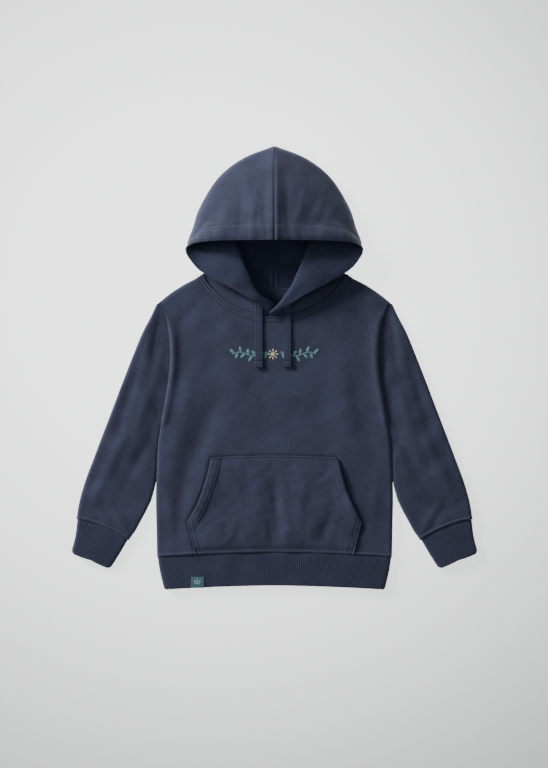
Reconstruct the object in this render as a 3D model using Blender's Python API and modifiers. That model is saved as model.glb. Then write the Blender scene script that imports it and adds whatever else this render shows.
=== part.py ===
"""Toddler pullover hoodie, laid flat on its back with the hood folded over on top.

Sizes are in millimetres, and MM turns them into metres when a mesh is made. X points to the
wearer's left, Y towards the hood and Z up from the surface that the hoodie lies on. Every cloth
piece is a surface through the middle of its wall, which Solidify then gives its thickness.
"""
import math

import bmesh
import bpy
import numpy as np

MM = 0.001

# Cloth
FLEECE = 2.4               # brushed sweatshirt fleece
RIB_WALL = 3.0             # rib knit, doubled
POCKET_CLOTH = 2.2
TAPE = (10.0, 2.0)         # drawcord width and thickness
LABEL = (18.0, 15.5, 0.8)  # width, height and thickness
SEAM_GAP = 0.35            # between pieces that are sewn together
FLOOR = FLEECE / 2         # middle of a wall that lies on the surface

# Body
FRONT_LEVEL = 7.0          # middle of the front wall over the surface
SIDE_SEAM_LEVEL = 4.1      # where the front and back walls meet along the sides and shoulders
SLEEVE_LEVEL = 6.3         # middle of a sleeve's upper wall
FRONT_NECK = (             # right half of the front neckline, from the middle to the shoulder point
    (0.0, 72.6), (20.0, 73.9), (40.0, 79.6), (58.0, 88.6), (73.7, 99.4), (87.8, 113.6), (95.5, 123.9),
    (98.6, 131.5))
BACK_NECK_Y = 111.0
BACK_NECK_POWER = 2.6      # how late the back neckline turns up to the shoulder point
UNDERARM_Y = -72.0
UNDERARM_GAP = (0.8, 25.0) # added between sleeve and body at the underarm, and how far it spreads
HEM_HALF = 164.4           # half width at the hem seam
HEM_MIDDLE_Y = -256.5
HEM_SIDE_Y = -262.5
BODY_EDGE = (              # height along the body, half width
    (-262.5, 164.4), (-225.0, 165.2), (-185.0, 166.0), (-150.0, 165.2), (-110.0, 163.0), (-85.0, 159.5),
    (-60.0, 155.0), (-30.0, 150.0), (-5.0, 146.6), (18.0, 145.5), (41.0, 146.6), (63.0, 150.0),
    (84.0, 156.0), (92.0, 160.5))
SHOULDER = ((98.6, 131.5), (108.0, 125.5), (125.0, 117.0), (139.0, 108.5), (150.5, 100.3), (160.5, 92.0))

# Soft folds of the front: middle x and y, direction in degrees, half length, half breadth, height
FRONT_FOLDS = (
    (-106.0, -104.0, 71.0, 78.0, 15.0, -1.3),
    (-128.0, -60.0, 78.0, 70.0, 11.0, 0.9),
    (-140.0, 20.0, 88.0, 58.0, 6.0, 0.9),
    (138.0, 25.0, 92.0, 62.0, 8.0, 0.8),
    (122.0, -70.0, 104.0, 66.0, 13.0, -0.9),
    (-118.0, 78.0, 40.0, 34.0, 9.0, -0.6),
    (120.0, 72.0, 136.0, 30.0, 10.0, -0.7),
    (2.0, -206.0, 97.0, 44.0, 9.0, -0.7),
    (72.0, -222.0, 62.0, 36.0, 10.0, -0.8),
    (-52.0, -200.0, 84.0, 50.0, 20.0, 0.7),
    (46.0, -150.0, 70.0, 46.0, 18.0, 0.6),
    (0.0, 52.0, 0.0, 74.0, 13.0, 0.7))

# Sleeve stations from the shoulder to the cuff seam: height on the inner side, outer edge x and y
SLEEVE_STATIONS = (
    (92.0, 164.4, 87.6), (87.0, 167.6, 82.0), (72.0, 174.0, 69.0), (48.0, 186.0, 46.0), (14.0, 199.0, 14.0),
    (-24.0, 212.4, -20.0), (-62.0, 226.0, -56.0), (-98.0, 239.8, -92.0), (-134.0, 253.0, -127.0),
    (-168.0, 264.6, -158.0), (-204.0, 273.0, -187.0), (-241.5, 277.2, -212.0))
SLEEVE_ROWS = (-104.0, -128.0, -150.0, -168.0, -186.0, -204.0, -222.0, -241.5)   # heights below the underarm
SLEEVE_INNER = (           # height, x of the inner edge once it leaves the body
    (-150.0, 165.9), (-168.0, 167.4), (-185.5, 172.0), (-203.0, 180.5), (-211.0, 185.0), (-227.5, 193.8),
    (-241.5, 203.6))
SLEEVE_FOLDS = (
    (166.0, 30.0, 96.0, 60.0, 9.0, -1.1),
    (184.0, -60.0, 108.0, 64.0, 8.0, 0.9),
    (203.0, -40.0, 111.0, 60.0, 9.0, -0.8),
    (190.0, -130.0, 118.0, 46.0, 8.0, -0.9),
    (236.0, -150.0, 112.0, 60.0, 9.0, 0.8),
    (232.0, -204.0, 60.0, 26.0, 6.0, -0.8))

# Rib bands
CUFF_INSET = 1.5           # how much narrower a cuff is than its sleeve, at each edge
CUFF_BOW = 4.0             # how far the cuff seam bows towards the shoulder
CUFF_STATIONS = (          # outer edge x and y, inner edge x and y, below the cuff seam
    (278.8, -236.0, 216.8, -261.0),
    (284.6, -258.6, 229.6, -281.2))
BAND_STATIONS = (          # half width, y at the side, y at the middle
    (163.4, HEM_SIDE_Y - SEAM_GAP, HEM_MIDDLE_Y - SEAM_GAP),
    (160.6, -284.0, -280.0),
    (154.6, -309.6, -305.0))
BAND_LEVELS = (RIB_WALL / 2, 6.5)
CUFF_LEVELS = (RIB_WALL / 2, 6.1)
RIB_PITCH = 4.0
RIB_HEIGHT = 0.35
CUFF_RIBBED = 70.0         # length across a cuff that its ribs are counted on

# Kangaroo pocket, right half outline
POCKET_TOP_Y = (-123.5, -126.5)
POCKET_TOP_HALF = 88.7
POCKET_SIDE = (            # up its lower side to the corner, then up its opening
    (114.2, -258.6), (119.0, -237.0), (123.4, -216.0), (109.6, -187.5), (97.2, -158.0), (88.7, -126.5))
POCKET_BOTTOM_Y = -256.2
POCKET_PUFF = 1.3

# Hood panel, one row for each section from the centre front of the neck round to the centre back.
# seam: 0 to 1 from the middle of the front neckline to the shoulder, 1 to 2 on to the middle of the
# back. side: where the hood folds over at its outline, with the levels below and above the fold and
# how folded it is. roll: where the front edge turns out, likewise. rim: the hemmed front edge.
HOOD_FRONT = {             # the left side laps over the right one at the centre front
    "left": (
        (-0.062, 7.2,    -5.0, 75.0, 7.2, 9.0, 0.0,           -5.8, 77.4, 12.6, 17.0, 1.0,           -7.6, 74.4, 16.2),
        (0.05,   7.2,    8.0, 76.0, 7.2, 9.0, 0.0,            4.2, 85.8, 15.4, 21.6, 1.0,            12.6, 83.0, 18.6)),
    "right": (
        (0.088,  7.2,    10.4, 76.0, 7.2, 9.0, 0.0,           0.0, 86.4, 11.6, 15.4, 1.0,           9.6, 78.4, 14.2),
        (0.12,   7.2,    14.0, 77.0, 7.2, 9.0, 0.0,           3.0, 92.4, 14.4, 20.2, 1.0,            22.6, 90.2, 19.4))}
HOOD_SECTIONS = (
    # seam,  level,  side x, y, low, high, folded,        roll x, y, low, high, rolled,          rim x, y, z
    (0.21,   7.2,    24.0, 78.0, 7.2, 9.0, 0.0,           14.4, 99.4, 16.6, 24.4, 1.0,           34.0, 96.8, 18.8),
    (0.40,   7.2,    46.0, 86.0, 7.2, 9.0, 0.0,           24.0, 113.0, 19.0, 27.2, 1.0,          57.0, 109.8, 16.8),
    (0.60,   7.2,    68.0, 98.0, 7.2, 9.0, 0.0,           30.0, 127.0, 20.5, 29.0, 1.0,          82.0, 122.8, 14.8),
    (0.78,   7.0,    86.0, 114.0, 6.4, 8.4, 0.0,          36.0, 140.0, 21.0, 29.5, 1.0,          100.0, 132.6, 14.0),
    (0.92,   6.4,    94.6, 129.4, 6.0, 7.4, 0.2,         41.5, 153.0, 21.0, 29.0, 1.0,          111.0, 141.6, 13.4),
    (1.00,   4.8,    103.5, 139.5, 3.8, 6.9, 1.0,        47.0, 168.0, 20.0, 27.5, 1.0,          118.0, 150.8, 13.0),
    (1.06,   2.8,    110.0, 147.4, 1.4, 7.2, 1.0,         57.0, 186.0, 17.0, 23.5, 1.0,          122.4, 158.0, 12.8),
    (1.12,   1.7,    117.0, 158.0, 1.2, 7.2, 1.0,         88.0, 188.0, 14.0, 19.4, 1.0,          123.4, 163.0, 13.4),
    (1.165,  1.2,    119.4, 164.6, 1.2, 7.2, 1.0,         106.0, 180.0, 13.0, 17.8, 1.0,         123.0, 165.8, 14.6),
    (1.20,   1.2,    120.6, 169.4, 1.2, 7.3, 1.0,         115.0, 176.4, 13.2, 17.2, 1.0,         121.6, 168.4, 16.4),
    (1.23,   1.2,    120.6, 174.5, 1.2, 7.4, 1.0,         118.4, 175.0, 14.6, 17.4, 0.6,         119.6, 170.8, 18.6),
    (1.27,   1.2,    118.6, 181.5, 1.2, 7.6, 1.0,         113.4, 176.0, 17.0, 19.0, 0.0,         113.4, 173.0, 20.8),
    (1.34,   1.2,    113.6, 194.0, 1.2, 7.8, 1.0,         101.6, 178.4, 19.6, 21.6, 0.0,         102.0, 174.6, 23.2),
    (1.43,   1.2,    103.4, 224.0, 1.2, 8.0, 1.0,         87.6, 188.0, 27.0, 28.4, 0.0,          85.0, 176.4, 30.4),
    (1.60,   1.2,    78.4, 264.0, 1.2, 8.2, 1.0,          58.4, 192.0, 38.0, 39.2, 0.0,          57.0, 177.8, 41.4),
    (1.79,   1.2,    44.0, 291.4, 1.2, 8.4, 1.0,          29.2, 194.0, 45.6, 46.8, 0.0,          28.6, 178.6, 48.6),
    (2.00,   1.2,    0.15, 309.0, 1.2, 8.6, 1.0,          0.15, 195.0, 50.0, 51.0, 0.0,          0.15, 179.0, 52.4))
ROLL_SHIFT = (             # section, how far the right side's roll lies further out
    (0.0, 0.0), (1.0, 5.2), (6.0, 5.2), (8.0, 3.0), (9.0, 0.0))
HOOD_ROWS = ((0.0, 3), (2.0, 7), (7.0, 13), (14.0, 9), (18.0, 1))    # section, rows from it to the next
HOOD_STEPS = (0.0, 1.0, 2.0, 2.7, 3.3, 3.7, 4.0, 4.3, 4.7, 5.4, 6.2, 7.0, 7.8, 8.6, 9.3, 9.7, 10.0, 10.3, 10.7,
              11.4, 12.2, 13.0)
TURN = 9.0                 # how near a fold its approach begins
END_STEP = 2.6             # spacing of a section's corners where it has no fold
CROWN_BULGE = 0.22         # how round the crown is between its outline and the rim
HOOD_SEAM_GAP = 0.7        # inside the neckline, but at the shoulder point it is larger
SHOULDER_SEAM_GAP = (0.98, 1.8, 0.08)      # seam place, gap to add, how far it spreads
HOOD_SEAM_TURN = ((0.0, 0.6, 0.85, 1.0, 1.1, 2.0), (90.0, 128.0, 150.0, 128.0, 100.0, 90.0))
CENTRE_STRIP = 2.5         # flat strip beside the centre seam
CENTRE_GAP = 0.3           # between the two sides at the centre seam

# Flat drawcords, from under the turned-out front edge down over the chest: x, y, z and the drop across
CORD_LEFT = ((18.2, 94.0, 17.5, 1.3), (18.2, 90.0, 16.1, 1.3), (18.2, 86.0, 14.8, 1.2), (18.2, 82.0, 13.2, 1.1),
             (18.2, 78.0, 11.9, 1.0), (18.2, 73.0, 10.6, 0.3), (18.1, 66.0, 10.3, 0.0), (18.0, 44.0, 10.2, 0.0),
             (18.0, 22.0, 10.2, 0.0), (18.0, 0.0, 10.2, 0.0))
CORD_RIGHT = ((-21.7, 95.0, 17.6, 1.2), (-21.7, 92.0, 16.4, 1.0), (-21.7, 89.0, 15.1, 0.9), (-21.7, 86.0, 14.0, 0.8),
              (-21.7, 83.0, 13.0, 0.8), (-21.7, 79.0, 11.9, 0.9), (-21.7, 74.0, 10.6, 0.4), (-21.7, 66.0, 10.3, 0.0),
              (-21.7, 44.0, 10.2, 0.0), (-21.6, 22.0, 10.2, 0.0), (-21.6, -1.0, 10.2, 0.0))
LABEL_CENTRE = (-108.4, -300.2)

# Colours of the cloth
NAVY = (0.036, 0.045, 0.076)
NAVY_RIB = (0.030, 0.038, 0.066)
TEAL = (0.10, 0.20, 0.24)


def spline(points, steps):
    """Points of a Catmull-Rom curve through the rows of points, at steps counted in rows."""
    rows = np.asarray(points, float)
    steps = np.asarray(steps, float)
    padded = np.vstack([2 * rows[0] - rows[1], rows, 2 * rows[-1] - rows[-2]])
    index = np.clip(np.floor(steps).astype(int), 0, len(rows) - 2)
    t = (steps - index)[..., None]
    p0, p1, p2, p3 = (padded[index + k] for k in range(4))
    return 0.5 * (2 * p1 + (p2 - p0) * t + (2 * p0 - 5 * p1 + 4 * p2 - p3) * t ** 2
                  + (3 * p1 - p0 - 3 * p2 + p3) * t ** 3)


def along(points, shares):
    """Points at the given shares of the length of the smooth curve through points."""
    dense = spline(points, np.linspace(0, len(points) - 1, 30 * (len(points) - 1) + 1))
    run = np.concatenate([[0], np.cumsum(np.linalg.norm(np.diff(dense, axis=0), axis=1))])
    return np.stack([np.interp(np.asarray(shares) * run[-1], run, dense[:, k])
                     for k in range(dense.shape[1])], axis=-1)


def soft_path(corners, steps):
    """A quadratic B-spline: it starts and ends on the end corners and rounds the others off."""
    padded = np.concatenate([corners[:1], corners, corners[-1:]])
    steps = np.asarray(steps, float)
    index = np.clip(np.floor(steps).astype(int), 0, len(padded) - 3)
    t = (steps - index)[:, None]
    return ((1 - t) ** 2 / 2 * padded[index] + (0.5 + t - t * t) * padded[index + 1]
            + t ** 2 / 2 * padded[index + 2])


def ease(value, low, high):
    """0 below low, 1 above high and a smooth step between them."""
    t = np.clip((value - low) / (high - low), 0, 1)
    return t * t * (3 - 2 * t)


def relief(folds, x, y):
    """Height that the soft folds add at x, y."""
    total = np.zeros(np.broadcast(x, y).shape)
    for fold_x, fold_y, turn, reach, breadth, height in folds:
        cosine, sine = math.cos(math.radians(turn)), math.sin(math.radians(turn))
        run = (x - fold_x) * cosine + (y - fold_y) * sine
        across = (y - fold_y) * cosine - (x - fold_x) * sine
        total += height * np.exp(-(run / reach) ** 2 - (across / breadth) ** 2)
    return total


def material(name, color, roughness):
    """A plain cloth material."""
    cloth = bpy.data.materials.new(name)
    cloth.use_nodes = True
    shader = cloth.node_tree.nodes["Principled BSDF"]
    shader.inputs["Base Color"].default_value = (*color, 1.0)
    shader.inputs["Roughness"].default_value = roughness
    shader.inputs["Metallic"].default_value = 0.0
    cloth.diffuse_color = (*color, 1.0)
    return cloth


def sheet(name, points, thickness, cloth, ring=False, ribs=None):
    """A cloth wall of the given thickness round a grid of points, rows by columns.

    Points of a ring that lie on each other are merged. Where ribs is 1 the wall's upper, outer
    points are raised to a knit rib, and its inside and underside stay plain.
    """
    rows, columns = points.shape[:2]
    mesh = bpy.data.meshes.new(name)
    grid = bmesh.new()
    bmesh.ops.create_grid(grid, x_segments=columns - 1, y_segments=rows - 1, size=0.5)
    weights = grid.verts.layers.deform.verify()
    crests = np.zeros(rows * columns) if ribs is None else ribs.ravel()
    for vertex, place, crest in zip(grid.verts, points.reshape(-1, 3), crests):
        vertex.co = place * MM
        vertex[weights][0] = crest
    if ring:
        bmesh.ops.remove_doubles(grid, verts=grid.verts, dist=0.00001)
        bmesh.ops.recalc_face_normals(grid, faces=grid.faces)
    grid.to_mesh(mesh)
    grid.free()
    mesh.materials.append(cloth)
    mesh.shade_smooth()
    piece = bpy.data.objects.new(name, mesh)
    piece.vertex_groups.new(name="rib_crest")
    bpy.data.collections[COLLECTION].objects.link(piece)
    wall = piece.modifiers.new("wall", 'SOLIDIFY')
    wall.thickness = thickness * MM
    wall.offset = 0.0
    if ribs is not None:
        raise_ribs(piece, (points[..., 2].min() + points[..., 2].max()) / 2)
    return piece


def raise_ribs(piece, middle_level):
    """Give a band its wall, then raise the ribs on the wall's upper, outer points."""
    solid = bpy.data.meshes.new_from_object(piece.evaluated_get(bpy.context.evaluated_depsgraph_get()))
    piece.modifiers.clear()
    piece.data = solid
    for vertex in solid.vertices:
        if vertex.groups and vertex.normal.z > 0.35 and vertex.co.z > middle_level * MM:
            vertex.co.z += RIB_HEIGHT * MM * vertex.groups[0].weight


# ---------------------------------------------------------------- body panels
EDGE_STEPS = (             # share of the curl, inset where the edge is closed, inset where it is open
    (0.0, 0.0, 0.0), (0.4, 0.0, 2.0), (0.84, 1.4, 4.5), (1.0, 5.0, 9.0))
FRONT_COLUMNS = (0.0, 0.062, 0.124, 0.186, 0.248, 0.31, 0.372, 0.434, 0.49, 0.54, 0.58, 0.62, 0.7, 0.79, 0.88)
BACK_COLUMNS = (0.0, 0.155, 0.28, 0.39, 0.47, 0.55, 0.62, 0.72, 0.86)
FRONT_ROWS = (0.0, 0.06, 0.14, 0.23, 0.32, 0.41, 0.5, 0.545, 0.59, 0.68, 0.76, 0.84, 0.9, 0.94)
BACK_ROWS = (0.0, 0.14, 0.32, 0.5, 0.545, 0.59, 0.68, 0.76, 0.84, 0.9, 0.94)
NECK_SHARE = 0.62          # share of a panel's top edge that is neckline
PANEL_HEIGHT = 354.5       # from the hem's side to the shoulder's end
FLARE = 15.0               # how far the columns lean out below the shoulder point
FLARE_BREADTH = 0.2        # share of the panel's width and height over which they do
FLARE_START = 0.05


def body_edge(y):
    """Half width of the body at height y."""
    table = np.asarray(BODY_EDGE)
    dense = spline(table, np.linspace(0, len(table) - 1, 261))
    return np.interp(y, dense[:, 0], dense[:, 1])


def front_neck(share):
    """Right half of the front neckline, from the middle to the shoulder point."""
    return along(FRONT_NECK, share)


def back_neck(share):
    """Right half of the back neckline, nearly straight in the middle."""
    half, point_y = FRONT_NECK[-1]
    x = np.linspace(0, half, 40)
    return along(np.stack([x, BACK_NECK_Y + (point_y - BACK_NECK_Y) * (x / half) ** BACK_NECK_POWER], 1), share)


def hem_y(x):
    """Height of the hem seam at x."""
    return HEM_MIDDLE_Y + (HEM_SIDE_Y - HEM_MIDDLE_Y) * (x / HEM_HALF) ** 2


def front_height(x, y):
    """Middle of the front wall at x, y, away from its edges."""
    return FRONT_LEVEL + relief(FRONT_FOLDS, x, y)


def half_panel(u, v, neck):
    """Plan points of the right half of a body panel; u runs out from the middle and v up from the hem."""
    bottom = np.stack([HEM_HALF * u, hem_y(HEM_HALF * u)], axis=-1)
    side_y = HEM_SIDE_Y + (SHOULDER[-1][1] - HEM_SIDE_Y) * v
    right = np.stack([body_edge(side_y), side_y], axis=-1)
    neck_part = neck(np.clip(u / NECK_SHARE, 0, 1))
    shoulder_part = along(SHOULDER, np.clip((u - NECK_SHARE) / (1 - NECK_SHARE), 0, 1))
    top = np.where((u < NECK_SHARE)[..., None], neck_part, shoulder_part)
    neck_middle = neck(np.zeros(1))[0]
    left = np.stack([np.zeros_like(v), HEM_MIDDLE_Y + (neck_middle[1] - HEM_MIDDLE_Y) * v], axis=-1)
    uu, vv = u[..., None], v[..., None]
    plan = ((1 - vv) * bottom + vv * top + (1 - uu) * left + uu * right
            - (1 - uu) * (1 - vv) * (0.0, HEM_MIDDLE_Y) - uu * (1 - vv) * (HEM_HALF, HEM_SIDE_Y)
            - (1 - uu) * vv * neck_middle - uu * vv * np.asarray(SHOULDER[-1]))
    lean = np.exp(-((u - NECK_SHARE) / FLARE_BREADTH) ** 2) * u * (1 - u) / (NECK_SHARE * (1 - NECK_SHARE))
    plan[..., 0] += FLARE * lean * (1 - np.exp(-(1 - v) / FLARE_START)) * v
    return plan


def panel_heights(rows):
    """Heights of a panel's rows along its side, from the hem to just below the shoulder's end."""
    edge = [1 - opened / PANEL_HEIGHT for _, _, opened in EDGE_STEPS[:0:-1]]
    return [HEM_SIDE_Y + PANEL_HEIGHT * share for share in (*rows, *edge)]


def body_panel(name, neck, level, seam_level, folds, columns, rows, cloth):
    """The front or back of the body, both halves in one sheet."""
    u_base = np.concatenate([columns, np.ones(len(EDGE_STEPS))])
    v_base = np.concatenate([rows, np.ones(len(EDGE_STEPS))])
    v, u = np.meshgrid(v_base, u_base, indexing="ij")
    side_curl, top_curl = np.ones_like(u), np.ones_like(v)
    side_closed = ease(-(HEM_SIDE_Y + PANEL_HEIGHT * v_base), -UNDERARM_Y - 16, -UNDERARM_Y + 20)
    top_closed = ease(u_base, NECK_SHARE - 0.02, NECK_SHARE + 0.08)
    for step, (share, closed, opened) in enumerate(EDGE_STEPS):
        for base, rise, shut, size, place in ((u, side_curl, side_closed, HEM_HALF, np.s_[:, -1 - step]),
                                              (v, top_curl, top_closed, PANEL_HEIGHT, np.s_[-1 - step, :])):
            base[place] = 1 - ((closed + FLEECE / 2) * shut + opened * (1 - shut)) / size
            rise[place] = share * shut + (1 - shut)
    right = np.dstack([half_panel(u, v, neck), side_curl * top_curl])
    whole = np.concatenate([right[:, :0:-1] * (-1, 1, 1), right], axis=1)
    flat = level + relief(folds, whole[..., 0], whole[..., 1])
    whole[..., 2] = seam_level + (flat - seam_level) * whole[..., 2]
    return sheet(name, whole, FLEECE, cloth)


# ---------------------------------------------------------------- sleeves and bands
EDGE_INSETS = (0.0, 0.6, 2.0, 4.2)      # points round a closed edge, measured in from it
EDGE_RISES = tuple(math.sqrt(1 - (1 - inset / EDGE_INSETS[-1]) ** 2) for inset in EDGE_INSETS)


def half_section(length, shares, first_closed=1.0):
    """Distances across a flattened tube and how far each lies from its middle level, 0 to 1."""
    insets = np.asarray(EDGE_INSETS) * min(1.0, 0.4 * length / EDGE_INSETS[-1])
    rises = np.asarray(EDGE_RISES)
    places = np.concatenate([insets, insets[-1] + (length - 2 * insets[-1]) * np.asarray(shares),
                             (length - insets)[::-1]])
    lift = np.concatenate([1 - first_closed * (1 - rises), np.ones(len(shares)), rises[::-1]])
    return places, lift


def sleeve_inner(y):
    """x of the sleeve's inner side: along the armhole and the body first, then clear of them."""
    table = np.asarray(SLEEVE_INNER)
    free = np.interp(-y, -table[:, 0], table[:, 1])
    extra, reach = UNDERARM_GAP
    armhole = body_edge(y) + 1.3 * SEAM_GAP + extra * math.exp(-((y - UNDERARM_Y) / reach) ** 2)
    return float(armhole if y > table[0, 0] else free)


def cuff_bow(share):
    """How far the cuff seam bows towards the shoulder, at a share of the way across it."""
    outer = np.asarray(SLEEVE_STATIONS[-1][1:])
    inner = np.array([SLEEVE_INNER[-1][1], SLEEVE_INNER[-1][0]])
    across = (inner - outer) / np.linalg.norm(inner - outer)
    return CUFF_BOW * 4 * (share * (1 - share))[:, None] * np.array([across[1], -across[0]])


def sleeve(name, sign, cloth):
    """A flattened sleeve. It is open along the armhole, and below the underarm its sheet closes to a tube."""
    stations = spline(SLEEVE_STATIONS, np.linspace(0, len(SLEEVE_STATIONS) - 1, 221))
    armhole = [height for height in panel_heights(FRONT_ROWS) if height > UNDERARM_Y - 20]
    rows = []
    for inner_y in (*armhole[::-1], *SLEEVE_ROWS):
        is_tube = inner_y < UNDERARM_Y
        inner = np.array([sleeve_inner(inner_y), inner_y])
        outer = np.array([np.interp(-inner_y, -stations[:, 0], stations[:, k]) for k in (1, 2)])
        across = (outer - inner) / np.linalg.norm(outer - inner)
        inner = inner + across * FLEECE / 2 * is_tube
        length = np.linalg.norm(outer - inner) - FLEECE / 2
        places, lift = half_section(length, (0.2, 0.4, 0.6, 0.8), float(is_tube))
        plan = inner + across * places[:, None]
        plan += cuff_bow(places / length) * ease(-inner_y, -SLEEVE_ROWS[-3], -SLEEVE_ROWS[-1])
        middle, half = (FLOOR + SLEEVE_LEVEL) / 2, (SLEEVE_LEVEL - FLOOR) / 2
        folds = relief(SLEEVE_FOLDS, plan[:, 0], plan[:, 1]) * lift
        top = np.column_stack([plan, middle + half * lift + folds])
        bottom = np.column_stack([plan, middle - half * lift])[::-1]
        rows.append(np.concatenate([top, bottom[1:]]))
    return sheet(name, np.asarray(rows) * (sign, 1, 1), FLEECE, cloth, ring=True)


def band_rows(stations, levels, bow, ribbed_length):
    """Rings of a flattened rib band, and which of their points lie on a rib's crest."""
    count = 2 * int((ribbed_length - 2 * EDGE_INSETS[-1]) / RIB_PITCH / 2) * 2
    ribbed = np.linspace(0, 1, count + 1)[1:-1]
    plain = np.linspace(0, 1, 2 + int(ribbed_length / 30))[1:-1]
    crest = np.concatenate([np.zeros(len(EDGE_INSETS)), np.arange(1, count) % 2, np.zeros(len(EDGE_INSETS))])
    rows, ribs = [], []
    middle, half = sum(levels) / 2, (levels[1] - levels[0]) / 2
    for station in stations:
        outer, inner = np.asarray(station[:2]), np.asarray(station[2:4])
        across = (inner - outer) / np.linalg.norm(inner - outer)
        length = np.linalg.norm(inner - outer) - RIB_WALL
        ring = []
        for shares, side in ((ribbed, 1), (plain, -1)):
            places, lift = half_section(length, shares)
            plan = outer + across * (places + RIB_WALL / 2)[:, None] + bow(places / length, station)
            ring.append(np.column_stack([plan, middle + side * half * lift])[::side])
        rows.append(np.concatenate([ring[0], ring[1][1:]]))
        ribs.append(np.concatenate([crest, np.zeros(len(ring[1]) - 1)]))
    return np.asarray(rows), np.asarray(ribs)


def cuff(name, sign, cloth):
    """A doubled rib cuff, its ribs along the arm."""
    outer = np.asarray(SLEEVE_STATIONS[-1][1:])
    inner = np.array([SLEEVE_INNER[-1][1], SLEEVE_INNER[-1][0]])
    across = (inner - outer) / np.linalg.norm(inner - outer)
    down = np.array([-across[1], across[0]]) * 2 * SEAM_GAP
    top = (*(outer + across * CUFF_INSET + down), *(inner - across * CUFF_INSET + down))

    def bow(share, station):
        return cuff_bow(share) if station is top else 0.0

    rows, ribs = band_rows((top, *CUFF_STATIONS), CUFF_LEVELS, bow, CUFF_RIBBED)
    return sheet(name, rows * (sign, 1, 1), RIB_WALL, cloth, ring=True, ribs=ribs)


def hem_band(cloth):
    """The doubled rib band round the hem."""
    def bow(share, station):
        rise = station[4] - station[1]
        return np.column_stack([np.zeros_like(share), rise * (1 - (2 * share - 1) ** 2)])

    stations = [(half, side_y, -half, side_y, middle_y) for half, side_y, middle_y in BAND_STATIONS]
    rows, ribs = band_rows(stations, BAND_LEVELS, bow, 2 * BAND_STATIONS[1][0])
    return sheet("hem_band", rows, RIB_WALL, cloth, ring=True, ribs=ribs)


# ---------------------------------------------------------------- hood
ROLL_X = 7                 # column of the sections' roll x


def hood_seam(place):
    """Plan point of the hood's neck seam, just inside the neckline, at 0 to 2 round from the front."""
    on_line = front_neck(min(abs(place), 1.0)) if place <= 1 else back_neck(min(2.0 - place, 1.0))
    angle = math.radians(np.interp(place, *HOOD_SEAM_TURN))
    middle, extra, breadth = SHOULDER_SEAM_GAP
    gap = HOOD_SEAM_GAP + extra * math.exp(-((place - middle) / breadth) ** 2)
    point = on_line * (math.copysign(1, place), 1) + gap * np.array([math.cos(angle), math.sin(angle)])
    return point if place < 1.5 else np.array([max(point[0], CENTRE_GAP / 2), point[1]])


def hood_corners(section):
    """Corners of one section's soft path, from the neck seam to the rim."""
    seam_place, level, *rest = section
    side, roll, rim = np.asarray(rest[0:5]), np.asarray(rest[5:10]), np.asarray(rest[10:13])
    folded, rolled = np.clip(side[4], 0, 1), np.clip(roll[4], 0, 1)
    seam = np.array([*hood_seam(float(min(seam_place, 2.0))), level])

    def toward(start, end, reach):
        """Plan point that lies reach from start on the way to end, or 0.4 of the way if that is less."""
        step = end - start
        return start + step * min(reach / max(np.linalg.norm(step), 0.001), 0.4)

    def on_line(start, end, share):
        """Point on the way from start to end, raised like the crown between its outline and its rim."""
        bulged = share + CROWN_BULGE * 4 * share * (1 - share) * folded
        return np.array([*(start[:2] + (end[:2] - start[:2]) * share), start[2] + (end[2] - start[2]) * bulged])

    low, high = np.array([*side[:2], side[2]]), np.array([*side[:2], side[3]])
    under, over = np.array([*roll[:2], roll[2]]), np.array([*roll[:2], roll[3]])
    start = high * folded + seam * (1 - folded)
    end = under * rolled + rim * (1 - rolled)
    reach = max(np.linalg.norm(end[:2] - start[:2]), 0.001)
    with_fold = [(seam + low) / 2, np.array([*toward(low[:2], seam[:2], TURN), low[2]]), low, high]
    step = min(END_STEP / reach, 0.1)
    without_fold = [on_line(seam, end, step * k) for k in (1, 2, 3, 4)]
    without_fold[0][2] = level
    first = [folded * a + (1 - folded) * b for a, b in zip(with_fold, without_fold)]
    with_roll = [under, over, (over + rim) / 2]
    without_roll = [on_line(start, rim, 1 - step * k) for k in (3, 2, 1)]
    last = [rolled * a + (1 - rolled) * b for a, b in zip(with_roll, without_roll)]
    near = min(TURN / reach, 0.2)
    gap_start = near + (1 - folded) * 4 * step
    gap_end = 1 - near - (1 - rolled) * 2 * step
    middle = [on_line(start, end, gap_start + (gap_end - gap_start) * share) for share in (0, 0.33, 0.67, 1.0)]
    return np.array([seam, *first, *middle, *last, rim])


def hood_panel(side, sign, cloth):
    """One side of the hood as a sheet through its sections."""
    table = (*HOOD_FRONT[side], *HOOD_SECTIONS)
    places = [np.linspace(start, stop, count, endpoint=False)
              for (start, count), (stop, _) in zip(HOOD_ROWS, HOOD_ROWS[1:])]
    places = np.concatenate([*places, [len(table) - 1]])
    sections = spline(table, places)
    if side == "right":
        sections[:, ROLL_X] += np.interp(places, *np.transpose(ROLL_SHIFT))
    points = [soft_path(hood_corners(section), HOOD_STEPS) for section in sections]
    last = points[-1].copy()
    points[-1][:, 0] = CENTRE_STRIP
    last[:, 0] = CENTRE_GAP / 2
    return sheet("hood_" + side, np.asarray([*points, last]) * (sign, 1, 1), FLEECE, cloth)


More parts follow.
